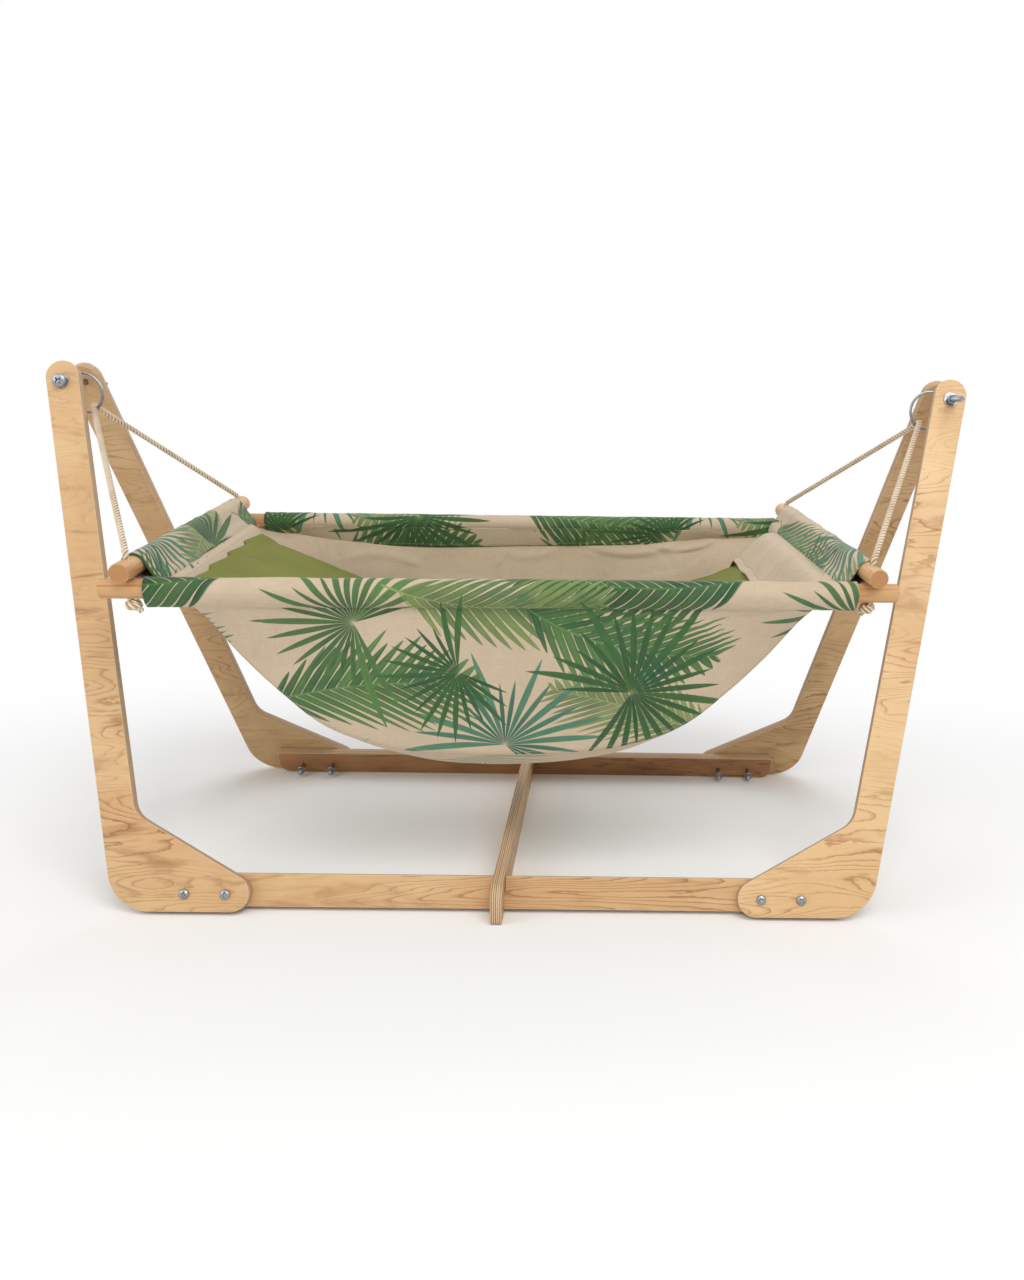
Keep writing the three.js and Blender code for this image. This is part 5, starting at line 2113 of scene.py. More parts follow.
@dataclass(frozen=True)
class Suspension:
    """A steel ring on each pivot bolt, and a rope from corner to corner through each ring."""

    finishes: dict[str, bpy.types.Material]
    knot_length: float = 0.015
    tail: float = 0.006
    wraps: int = 2

    def build(self) -> None:
        """Rings, ropes and knots of both ends."""
        for end in End:
            self.ring(end)
            self.ropes(end)

    def ring(self, end: End) -> None:
        """A round wire ring, bent from rod and closed by a small weld.

        Args:
            end: Left or right.
        """
        centre, _ = PLAN.ring_centre(end)
        wire, radius = PLAN.ring_wire / 2, (PLAN.ring_outer - PLAN.ring_wire) / 2
        turn = angles(120)[None]
        around = angles(20)[:, None]
        weld = 1 + 0.16 * np.exp(-(((turn - 1.9) / 0.035) ** 2))
        section = np.stack([radius + wire * weld * np.cos(around), wire * weld * np.sin(around)], -1)
        skin = grid_skin(spun(section, turn[0]), closed=(True, True), flip=True)
        axes = np.array([[1, 0, 0], [0, 0, 1], [0, -1, 0]], float)
        make_piece(f"{end.value}_ring", skin, self.finishes["zinc"], "sling",
                   [f"ring_{end.value}"], Place(centre, axes))

    def half_route(self, end: End, side: int, crown: Array, over: Array, eye: Array) -> Array:
        """Up through a corner's hole, over its rim and straight to the ring, in the sling's drawing.

        Args:
            end: Left or right.
            side: -1 for the front corner, 1 for the back one.
            crown: Middle of the ring's wire.
            over: Direction of the path over the wire.
            eye: A first guess of where it meets the ring.

        Returns:
            The points of this half.
        """
        up = -DOWN
        rim = np.array([end.way * PLAN.corner_x, side * PLAN.corner_y, PLAN.dowel + PLAN.gap / 2])
        below = rim * (1, 1, 0) + DOWN * (PLAN.dowel + PLAN.gap + self.knot_length * 0.5)
        direction = unit(eye - rim)
        for _ in range(6):
            inward = unit(direction * (1, 1, 0))
            rim_arc = arc_points(rim + inward * PLAN.rope, up, direction, PLAN.rope, 12)
            eye_arc = arc_points(crown, direction, over, (PLAN.rope + PLAN.ring_wire) / 2 + PLAN.gap, 12)
            direction = unit(eye_arc[0] - rim_arc[-1])
        return np.concatenate([below[None], rim_arc, eye_arc])

    def route(self, end: End) -> Array:
        """The whole rope's middle, from its front knot to its back one, in the row frame.

        Args:
            end: Left or right.

        Returns:
            The points, evenly spaced.
        """
        centre, pull = PLAN.ring_centre(end)
        wire = centre + pull * (PLAN.ring_outer - PLAN.ring_wire) / 2
        eye = PLAN.place.local(wire - pull * ((PLAN.rope + PLAN.ring_wire) / 2 + PLAN.gap))
        crown = PLAN.place.local(wire)
        over = PLAN.place.local(wire + np.array([0, 1, 0])) - crown
        front = self.half_route(end, -1, crown, over, eye)
        back = self.half_route(end, 1, crown, -over, eye)[::-1][1:]
        return PLAN.place.world(softened(evenly(np.concatenate([front, back]), 0.0012), 3))

    def ropes(self, end: End) -> None:
        """The twisted rope of one end and its two stopper knots.

        Args:
            end: Left or right.
        """
        path = self.route(end)
        rope = make_piece(f"{end.value}_rope", Twist(PLAN.rope).skin(path, np.array([1.0, 0, 0])),
                          self.finishes["rope"], "sling", [f"rope_{end.value}"])
        knots = [self.knot(end, half) for half in Half]

    def knot(self, end: End, half: Half) -> bpy.types.Object:
        """A stopper knot: the rope's end winds round itself and hangs out below.

        The middle runs down a helix whose radius rises from nothing and falls back to it.

        Args:
            end: Left or right.
            half: Front or back.

        Returns:
            The knot's object.
        """
        t = np.linspace(0, 1, 260)
        top = -PLAN.dowel - PLAN.gap / 2 - 0.0045
        turn = TAU * self.wraps * np.clip(t / 0.82, 0, 1) + 0.9 * end.way + half.way
        radius = 0.0068 * smooth(t, 0.0, 0.06) * (1 - smooth(t, 0.76, 0.88))
        drop = (self.knot_length - 0.009) * np.clip(t / 0.8, 0, 1)
        tail = smooth(t, 0.8, 1.0) * self.tail
        lean = smooth(t, 0.0, 0.3) * 0.0035 + smooth(t, 0.7, 1.0) * 0.009
        x = radius * np.cos(turn) - lean * end.way
        local = np.stack([x, radius * np.sin(turn), top - drop - tail], 1)
        local += np.array([end.way * PLAN.corner_x, half.way * PLAN.corner_y, 0])
        path = softened(evenly(local, 0.0011), 6)
        skin = Twist(PLAN.rope * 0.98, 0.019).skin(PLAN.place.world(path), np.array([0.1, 0.2, 1.0]), 10)
        name = f"{end.value}_{half.value}_knot"
        return make_piece(name, skin, self.finishes["rope"], "sling")


@dataclass(frozen=True)
class Creases:
    """Narrow folds in cloth, each a ridge of a bell curve's section that fades along its length.

    Attributes:
        at: (n, 2) places of their middles on the cloth, in metres.
        turn: Their directions, in radians from the cloth's x.
        length: Half lengths.
        width: Half widths.
        height: Heights, negative for a groove.
    """

    at: Array
    turn: Array
    length: Array
    width: Array
    height: Array

    def lift(self, u: Array, v: Array) -> Array:
        """Height of the cloth at (u, v): the sum over all folds of
        height · exp(−(off / width)²) · exp(−(along / length)⁴).

        Args:
            u: First place on the cloth.
            v: Second place on the cloth.

        Returns:
            The height at each place.
        """
        x = u[..., None] - self.at[:, 0]
        y = v[..., None] - self.at[:, 1]
        along = x * np.cos(self.turn) + y * np.sin(self.turn)
        off = -x * np.sin(self.turn) + y * np.cos(self.turn)
        off = off - 0.25 * along**2 / self.length
        ridge = np.exp(-((off / self.width) ** 2)) * np.exp(-((along / self.length) ** 4))
        return (ridge * self.height).sum(-1)

    @staticmethod
    def scattered(seed: int, count: int, box: tuple[float, float, float, float], turn: tuple[float, float],
                  length: tuple[float, float], width: tuple[float, float], height: float) -> "Creases":
        """Random folds inside a box of the cloth, with directions, lengths and widths in spans.

        Args:
            seed: Seed of the random draws.
            count: Number of folds.
            box: Lowest u and v, then highest u and v.
            turn: Span of directions.
            length: Span of lengths.
            width: Span of widths.
            height: Greatest height or depth.

        Returns:
            The folds.
        """
        rng = np.random.default_rng(seed)
        low, high = np.array(box[:2]), np.array(box[2:])
        return Creases(
            rng.uniform(low, high, (count, 2)), rng.uniform(*turn, count), rng.uniform(*length, count),
            rng.uniform(*width, count), rng.uniform(-height, height, count),
        )

    def with_more(self, other: "Creases") -> "Creases":
        """These folds and others."""
        pairs = zip(vars(self).values(), vars(other).values())
        return Creases(*(np.concatenate(pair) for pair in pairs))


def folds(*rows: tuple[float, float, float, float, float, float]) -> Creases:
    """Folds from rows of x, y, direction in degrees, half length, half width and height."""
    table = np.array(rows, float)
    return Creases(table[:, :2], np.radians(table[:, 2]), table[:, 3], table[:, 4], table[:, 5])


@dataclass(frozen=True)
class Sleeve:
    """Cloth sewn round a dowel: a drop-shaped tube whose tail is the seam.

    Attributes:
        length: Of the sleeve, in metres.
        depth: From the dowel's axis to the seam.
        creases: Folds on its wall, in metres along it and round it from the seam.
        seed: Of the cloth's unevenness.
    """

    length: float
    depth: float
    creases: Creases
    seed: int
    around: int = 110

    def section(self, radius: float, depth: float) -> tuple[Array, Array, Array]:
        """A section as evenly spaced points from the tail round, directions out, and lengths.

        At an angle a from the tail, its radius is R / cos(max(A − a, 0)) with cos A = R / depth:
        a round back and two straight sides that meet in the tail.

        Args:
            radius: Radius of the round back.
            depth: Distance of the tail from the middle.

        Returns:
            The points, the directions and the lengths.
        """
        a = np.linspace(0, TAU, 4001)
        bend = np.minimum(a, TAU - a)
        reach = np.minimum(radius / np.cos(np.maximum(math.acos(radius / depth) - bend, 0)), depth - 0.0008)
        line = np.stack([reach * np.sin(a), -reach * np.cos(a)], 1)
        length = lengths(line)
        at = np.linspace(0, length[-1], self.around + 1)
        points = sampled(at, length, line)
        step = np.roll(points[:-1], -1, 0) - np.roll(points[:-1], 1, 0)
        step[0] = (1, 0)
        return points[:-1], unit(np.stack([step[:, 1], -step[:, 0]], 1)), at

    def skin(self, way: int) -> tuple[Skin, float]:
        """The tube along x, its tail towards −z.

        Args:
            way: 1 where the flat cloth's x runs along the tube, -1 against it.

        Returns:
            The skin, and the girth of its outer face.
        """
        along = 2 * int(self.length / 0.0044 / 2)
        bore = PLAN.dowel / 2 + PLAN.gap
        outer, out, girth = self.section(bore + PLAN.sleeve_wall, self.depth)
        inner, _, _ = self.section(bore, self.depth - 0.0042)
        x = np.linspace(-self.length / 2, self.length / 2, along + 1)
        u, v = np.meshgrid(x, girth[:-1], indexing="ij")
        round_off = np.minimum(v, girth[-1] - v)
        lift = ripples(u, v, 14, (0.03, 0.12), self.seed) * 0.0004 + self.creases.lift(u * way, v) + 0.0003
        lift = lift * (0.2 + 0.8 * smooth(round_off, 0.002, 0.008))
        hem = np.exp(-(((self.length / 2 - np.abs(u)) / 0.006) ** 2)) * 0.0005
        belly = 0.0020 * np.sin(math.pi * np.clip(round_off / 0.022, 0, 1))
        lift = np.maximum(lift + hem, -0.0009) + belly
        section = outer + out * lift[..., None]
        wide = np.stack([u, section[..., 0], section[..., 1]], -1)
        slim = np.stack([u, *(np.broadcast_to(column, u.shape) for column in inner.T)], -1)
        flat_x = way * np.concatenate([x, x[::-1], x[:1]])
        flat = np.stack(np.broadcast_arrays(flat_x[:, None], girth[None]), -1)
        points = np.concatenate([wide, slim[::-1]])
        return grid_skin(points, flat, closed=(True, True), flip=True), float(girth[-1])


@dataclass(frozen=True)
class Stitches:
    """Rows of machine stitches: short sunk capsules of thread, laid along a line on the cloth."""

    thread: float = 0.00032
    stitch: float = 0.0027
    space: float = 0.0036

    def skin(self, line: Array, out: Sequence[float]) -> Skin:
        """A capsule per stitch, its ends dipping into the cloth.

        In a stitch's own frame, at t from −1 to 1, the middle lies thread · (0.9 − 1.6 t⁴) above
        the cloth and the radius is thread · sqrt(1 − 0.8 t⁴).

        Args:
            line: (n, 3) places on the cloth.
            out: The direction out of it.

        Returns:
            All stitches as one skin.
        """
        length = lengths(line)
        at = np.arange(self.space / 2, length[-1], self.space)
        ahead = unit(sampled(at, length, np.gradient(line, axis=0)))
        up = unit(np.broadcast_to(out, ahead.shape))
        side = unit(np.cross(ahead, up))
        up = np.cross(side, ahead)
        t = np.linspace(-1, 1, 5)
        turn = angles(5)
        radius = self.thread * np.sqrt(1 - 0.8 * t**4)
        rise = self.thread * (0.9 - 1.6 * t**4)
        x = np.broadcast_to((t * self.stitch / 2)[:, None], (5, 5))
        y = radius[:, None] * np.cos(turn)
        z = rise[:, None] + radius[:, None] * np.sin(turn)
        own = np.stack([x, y, z], -1)
        frames = np.stack([ahead, side, up], 1)
        places = sampled(at, length, line)[:, None, None] + np.einsum("rcj,njk->nrck", own, frames)
        first = grid_skin(places[0], closed=(False, True), capped=True)
        count = len(first.points)
        caps = places[:, [0, -1]].mean(2)
        points = np.concatenate([places.reshape(len(at), -1, 3), caps], 1).reshape(-1, 3)
        shift = (np.arange(len(at)) * count)[:, None, None]
        return Skin(
            points,
            [(group[None] + shift).reshape(-1, group.shape[1]) for group in first.faces],
            [np.tile(group, (len(at), 1, 1)) for group in first.cloth],
        )


@dataclass(frozen=True)
class Bed:
    """The sewn bed: sleeves round the dowels, side panels, belt and end flaps."""

    finishes: dict[str, bpy.types.Material]
    cloth: float = 0.0024
    flap_cloth: float = 0.0014
    flap_half: float = 0.205
    flap_lap: float = 0.008
    flap_length: tuple[float, float] = (0.026, 0.075)
    panel_top: float = 0.415
    panel_reach: float = 0.428
    tuck: float = 0.006
    back_start: float = 0.425
    hem_at: tuple[float, ...] = (-0.42, -0.352, -0.319, -0.235, -0.138, 0.073, 0.248, 0.343, 0.42)
    hem_depth: tuple[float, ...] = (0.019, 0.026, 0.032, 0.0388, 0.0405, 0.036, 0.033, 0.021, 0.017)

    def start(self, half: Half) -> float:
        """How far left of the middle a long sleeve begins."""
        return self.back_start if half is Half.BACK else PLAN.long_sleeve / 2

    def facing(self, half: Half) -> None:
        """The turned-in cloth of a long sleeve, straight from the dowel's inner side to its hem.

        Along it, x runs with the dowel, and down it, t from 0 to 1. Measured from the dowel's
        axis, a place is start · (1 − t) + hem(x) · t, moved into the bed by the ripples.

        Args:
            half: Front or back.
        """
        way = half.way
        along = np.linspace(0.002 - self.start(half), 0.437, 220)
        x, t = np.meshgrid(along, np.linspace(0, 1, 15), indexing="ij")
        hem = np.interp(x * way, self.hem_at, self.hem_depth)
        inward, drop = 0.0133, 0.0049
        soft = (ripples(x, t * 0.04, 12, (0.05, 0.2), 21 + way) * 0.0007 + 0.0004) * np.sin(math.pi * t)
        foot = 0.0028 + 0.24 * np.maximum(hem - PLAN.sleeve_depth, 0)
        y = PLAN.corner_y - inward * (1 - t) - foot * t - soft
        z = -PLAN.layer - drop * (1 - t) - hem * t
        thick, slant = 0.0006, 0.36
        near = np.stack([x, way * (y - thick), z - thick * slant], -1)
        far = np.stack([x, way * (y + thick), z + thick * slant], -1)
        flat = np.stack([x, 0.0796 + t * np.hypot(hem - drop, inward)], -1)
        skin = shell_skin(*(far, near)[::way], flat)
        name = f"{half.value}_facing"
        line = near[3:-3, -3]
        stitches = self.sew(f"{name}_stitches", [(line, (0.0, -way, -0.3))])
        piece = self.cloth_piece(name, skin, half.value, ())

    def build(self) -> None:
        """All sewn pieces."""
        for half in Half:
            self.long_sleeve(half)
            self.facing(half)
            self.panel(half)
        for end in End:
            self.short_sleeve(end)
            self.flap(end)
        self.belt()

    def cloth_piece(self, name: str, skin: Skin, key: str, nodes: Sequence[str],
                    plain: Optional[Array] = None) -> bpy.types.Object:
        """A sewn piece in the print of that key, bare where plain is 1."""
        fields = None if plain is None else {"plain": plain}
        return make_piece(name, skin, self.finishes[f"print_{key}"], "sling", nodes, PLAN.place, fields)

    def sew(self, name: str, lines: Sequence[tuple[Array, Sequence[float]]]) -> bpy.types.Object:
        """Stitches along several lines, each with its direction out of the cloth."""
        skin = Skin.joined([Stitches().skin(line, out) for line, out in lines])
        return make_piece(name, skin, self.finishes["thread"], "sling", (), PLAN.place)

    def long_sleeve(self, half: Half) -> None:
        """A sleeve along a long dowel, its seam below and its print outside.

        Args:
            half: Front or back.
        """
        way = half.way
        marks = folds(
            (-0.395, 0.012, 82, 0.012, 0.0022, 0.0010), (-0.378, 0.011, 95, 0.014, 0.0020, -0.0008),
            (-0.362, 0.013, 105, 0.013, 0.0024, 0.0009), (-0.345, 0.012, 70, 0.012, 0.0020, -0.0007),
            (0.300, 0.014, 60, 0.016, 0.0026, 0.0011), (0.325, 0.018, 20, 0.022, 0.0030, -0.0009),
            (0.352, 0.015, 120, 0.014, 0.0022, 0.0010), (0.392, 0.014, 100, 0.012, 0.0020, 0.0009),
        )
        box = (-0.43, 0.005, 0.43, 0.05)
        loose = Creases.scattered(11 + way, 26, box, (0.2, 2.9), (0.008, 0.03), (0.0015, 0.004), 0.0007)
        half_length = (PLAN.long_sleeve / 2 + self.start(half)) / 2
        centre = PLAN.long_sleeve / 2 - half_length
        sleeve = Sleeve(2 * half_length, PLAN.sleeve_depth, marks.with_more(loose), 5 + way)
        skin, girth = sleeve.skin(way)
        at = Place(np.array([centre, way * PLAN.corner_y, -PLAN.layer]), np.diag([way, way, 1.0]))
        skin.points = at.world(skin.points)
        name = f"{half.value}_sleeve"
        x = np.linspace(0.004 - self.start(half), PLAN.long_sleeve / 2 - 0.004, 400)
        lines = []
        for side in (-1, 1):
            y = way * PLAN.corner_y + side * 0.0032
            line = np.stack([x, np.full_like(x, y), np.full_like(x, -PLAN.layer - 0.0204)], 1)
            lines.append((line, (0.0, side, -0.55)))
        stitches = self.sew(f"{name}_stitches", lines)
        piece = self.cloth_piece(name, skin, half.value, [f"sleeve_{half.value}"])

    def short_sleeve(self, end: End) -> None:
        """A sleeve along a short dowel, its seam towards the bed.

        Args:
            end: Left or right.
        """
        way = end.way
        down = np.array([-way * math.cos(PLAN.slope), 0, -math.sin(PLAN.slope)])
        out = np.array([way * math.sin(PLAN.slope), 0, -math.cos(PLAN.slope)])
        box = (-0.22, 0.005, 0.22, 0.09)
        marks = Creases.scattered(31 + way, 34, box, (0.8, 2.4), (0.010, 0.035), (0.002, 0.005), 0.0009)
        skin, girth = Sleeve(PLAN.short_sleeve, PLAN.end_sleeve_depth, marks, 9 + way).skin(1)
        axes = np.stack([np.cross(out, -down), out, -down])
        at = Place(np.array([way * PLAN.corner_x, 0, PLAN.layer]), axes)
        drawn = skin.points
        plain = smooth(drawn[:, 0] * -way, 0.209, 0.213) * (drawn[:, 1] > 0.004) * (way > 0)
        skin.points = at.world(drawn)
        name = f"{end.value}_sleeve"
        x = np.linspace(-PLAN.short_sleeve / 2 + 0.004, PLAN.short_sleeve / 2 - 0.004, 300)
        line = np.stack([x, np.full_like(x, 0.0032), np.full_like(x, 0.0045 - PLAN.end_sleeve_depth)], 1)
        stitches = self.sew(f"{name}_stitches", [(at.world(line), np.array([0.0, 1.0, -0.55]) @ at.axes)])
        piece = self.cloth_piece(name, skin, end.value, [f"sleeve_{end.value}"], plain)

    def panel(self, half: Half) -> None:
        """A half-moon side panel between a long sleeve's seam and the belt's edge.

        Along it, a runs from 0 to 1, and down it, v from 0 to 1. A place lies between a point on
        the straight top and a point on the seam, and then moves outwards by the folds.

        Args:
            half: Front or back.
        """
        way = half.way
        a, v = np.meshgrid(np.linspace(0, 1, 261), np.linspace(0, 1, 73), indexing="ij")
        low_share, high_share = PLAN.share_at(np.array([-self.panel_reach, self.panel_reach]))
        share = low_share + (high_share - low_share) * a
        x, z = PLAN.seam(share)
        ahead = PLAN.ahead(share)
        lap = 0.0017
        x, z = x + ahead[..., 1] * lap, z - ahead[..., 0] * lap
        seam = -PLAN.layer - PLAN.sleeve_depth
        top_x = (2 * a - 1) * self.panel_top
        bare = smooth(-top_x, 0.395, 0.413) * (half is Half.BACK)
        corner_out, corner_up = 0.024, 0.0085
        px = (top_x - corner_out * bare) * (1 - v) + x * v
        pz = (seam + self.tuck + corner_up * bare) * (1 - v) + z * v
        recess = 0.0030 * np.exp(-((v / 0.06) ** 2))
        py = way * (PLAN.corner_y * (1 - v) + PLAN.panel_half * v - recess)
        deep = seam - pz
        bell = np.sin(np.pi * v)
        waves = 3.5
        wide = 0.0025 * bell * np.sin((a if way < 0 else 1 - a) * waves * TAU)
        marks = folds(
            (-0.335, -0.045, 92, 0.040, 0.0035, 0.0022), (-0.318, -0.040, 86, 0.036, 0.0035, -0.0018),
            (-0.300, -0.050, 96, 0.034, 0.0040, 0.0014), (-0.20, -0.030, 80, 0.028, 0.0030, 0.0008),
            (0.245, -0.020, 150, 0.030, 0.0045, 0.0022), (0.275, -0.030, 120, 0.036, 0.0045, -0.0018),
            (0.225, -0.045, 75, 0.034, 0.0045, 0.0018), (0.05, -0.025, 95, 0.024, 0.0030, 0.0009),
            (0.16, -0.10, 160, 0.060, 0.0060, 0.0010), (-0.12, -0.12, 20, 0.060, 0.0060, -0.0010),
        )
        box = (-0.37, -0.025, 0.37, -0.004)
        loose = Creases.scattered(51 + way, 40, box, (1.2, 1.9), (0.010, 0.024), (0.0018, 0.0035), 0.0009)
        lift = marks.with_more(loose).lift(px, -deep) + ripples(px, deep, 16, (0.05, 0.2), 70 + way) * 0.0006
        lift = wide + lift * np.clip(bell * 3, 0, 1)
        soft = folds(
            (0.21, -0.022, 6, 0.100, 0.0070, 0.0068), (0.135, -0.034, 150, 0.030, 0.0060, 0.0052),
            (0.31, -0.012, 14, 0.060, 0.0060, 0.0054), (0.03, -0.030, 8, 0.050, 0.0070, 0.0034),
            (0.21, -0.046, 2, 0.130, 0.0100, -0.0060), (-0.10, -0.048, 178, 0.110, 0.0130, -0.0036),
            (-0.03, -0.036, 70, 0.020, 0.0050, 0.0030), (-0.22, -0.030, 170, 0.070, 0.0080, 0.0030),
        )
        lining = (ripples(px, deep, 18, (0.06, 0.22), 90 + way) * 0.0011 - soft.lift(px * way, -deep)) * bell
        lining = np.minimum(lining, 0.0008)
        sag = 0.0012 * bell
        outer = np.stack([px, py + way * (lift + self.cloth / 2), pz], -1)
        inside = lift * 0.6 + wide * 0.4 - self.cloth / 2 - sag + lining
        inner = np.stack([px, py + way * inside, pz], -1)
        flat = np.stack([px, -deep - 0.0001], -1)
        faces = (outer, inner)[::way]
        skin = shell_skin(*faces, flat)
        plain = np.repeat([float(face is inner) for face in faces], px.size)
        name = f"{half.value}_panel"
        rim, third = outer[4:-4, -1], outer[4:-4, -3]
        line = rim + (third - rim) * 0.7
        stitches = self.sew(f"{name}_stitches", [(line, (0.0, way, 0.0))])
        piece = self.cloth_piece(name, skin, half.value, [f"side_panel_{half.value}"], plain)

    def belt(self) -> None:
        """The strip that makes both ends and the bottom of the bed, printed below and lined above."""
        share, across = np.meshgrid(np.linspace(0, 1, 281), np.linspace(-1, 1, 91), indexing="ij")
        middle = PLAN.belt(share, across)
        along = np.gradient(middle, axis=0)
        aside = np.gradient(middle, axis=1)
        out = unit(np.cross(aside, along))
        length = lengths(middle[:, middle.shape[1] // 2])
        u = np.broadcast_to((length - length[-1] / 2)[:, None], share.shape)
        v = across * PLAN.belt_half
        box = (-0.55, -0.2, 0.55, 0.2)
        marks = Creases.scattered(73, 60, box, (1.1, 2.0), (0.02, 0.08), (0.003, 0.008), 0.0012)
        sides = np.clip((1 - np.abs(across)) * 9, 0, 1)
        rim = sides * np.clip(share * 30, 0, 1) * np.clip((1 - share) * 30, 0, 1)
        lift = (marks.lift(u, v) + ripples(u, v, 20, (0.06, 0.3), 77) * 0.0008) * rim
        outer = middle + out * (lift + self.cloth / 2)[..., None]
        inner = middle + out * (lift * 0.5 - self.cloth / 2)[..., None]
        flat = np.stack([u, v], -1)
        skin = shell_skin(inner, outer, flat)
        bare = np.repeat([1.0, 0.0], share.size)
        piece = self.cloth_piece("belt", skin, "belt", ["bed_belt"], bare)

    def flap_section(self, end: End, v: Array) -> tuple[Array, Array]:
        """x and z of a flap's middle, v from 0 at its sleeve to 1 at its hem.

        The left one goes straight down along the belt, up to the pad that has slid against it,
        and the right one settles smoothly onto the pad.

        Args:
            end: Left or right.
            v: Share of the way to the hem.

        Returns:
            The two coordinates.
        """
        width = PLAN.dowel / 2 + PLAN.gap + PLAN.sleeve_wall
        taper = math.tan(math.asin(width / PLAN.end_sleeve_depth))
        along = PLAN.end_sleeve_depth - self.flap_lap
        rise = self.flap_lap * taper + self.flap_cloth / 2 + 2 * PLAN.gap
        start_x = PLAN.corner_x - along * math.cos(PLAN.slope) - rise * math.sin(PLAN.slope)
        start_z = PLAN.layer - along * math.sin(PLAN.slope) + rise * math.cos(PLAN.slope)
        if end is End.LEFT:
            stop_x = start_x - self.flap_length[0] * math.cos(PLAN.slope)
            _, belt = PLAN.seam(PLAN.share_at(-stop_x))
            return start_x + (stop_x - start_x) * v, start_z + (belt + 0.0038 - start_z) * v
        x = start_x - self.flap_length[1] * v
        lying = Pad().top(x) + self.flap_cloth + PLAN.gap
        return x, start_z + (lying - start_z) * smooth(self.flap_length[1] * v, 0, 0.054)

    def flap(self, end: End) -> None:
        """A plain end flap from a short sleeve's seam: across it, u runs from −1 to 1.

        Args:
            end: Left or right.
        """
        way = end.way
        long = self.flap_length[0 if end is End.LEFT else 1]
        rows = 60
        u, v = np.meshgrid(np.linspace(-1, 1, 161), np.linspace(0, 1, rows + 1), indexing="ij")
        x, height = self.flap_section(end, v)
        y = u * self.flap_half
        seed = 3 if way < 0 else 8
        rise = ripples(y, v * long, 9, (0.05, 0.16), seed) * 0.0016 + 0.0022
        box = (-0.19, 0.0, 0.19, long)
        marks = Creases.scattered(seed, 16, box, (1.0, 2.1), (0.02, 0.05), (0.003, 0.007), 0.0035)
        rise = (rise + np.abs(marks.lift(y, v * long))) * smooth(v * long, 0.006, 0.03) * long / 0.075
        arch = 0.004 * np.sin(math.pi * v)
        if end is End.LEFT:
            rise = rise + arch
            printed = 0.007 * (1 - u)
        else:
            tucked = 0.022 * smooth(np.abs(u), 0.80, 1.02) * smooth(v, -0.2, 0.6)
            rise = rise + arch * (1 - u**2) - tucked
            printed = 0.011
        plain = np.clip((v * long - printed) / 0.004 + 0.5, 0, 1).ravel()
        hem = 0.0009 * smooth(v, 1 - 0.011 / long, 1 - 0.009 / long)
        top = np.stack([x * way, y, height + rise + hem + self.flap_cloth / 2], -1)
        low = np.stack([x * way, y, height + rise - self.flap_cloth / 2], -1)
        flat = np.stack([y, v * long], -1)
        skin = shell_skin(*(top, low)[::way], flat)
        name = f"{end.value}_flap"
        lines = [top[3:-3, row] for row in (int(rows * 0.003 / long), int(rows * (1 - 0.010 / long)))]
        stitches = self.sew(f"{name}_stitches", [(line, (0.0, 0.0, 1.0)) for line in lines])
        nodes = [f"end_flap_{end.value}"]
        piece = self.cloth_piece(name, skin, end.value, nodes, np.tile(plain, 2))


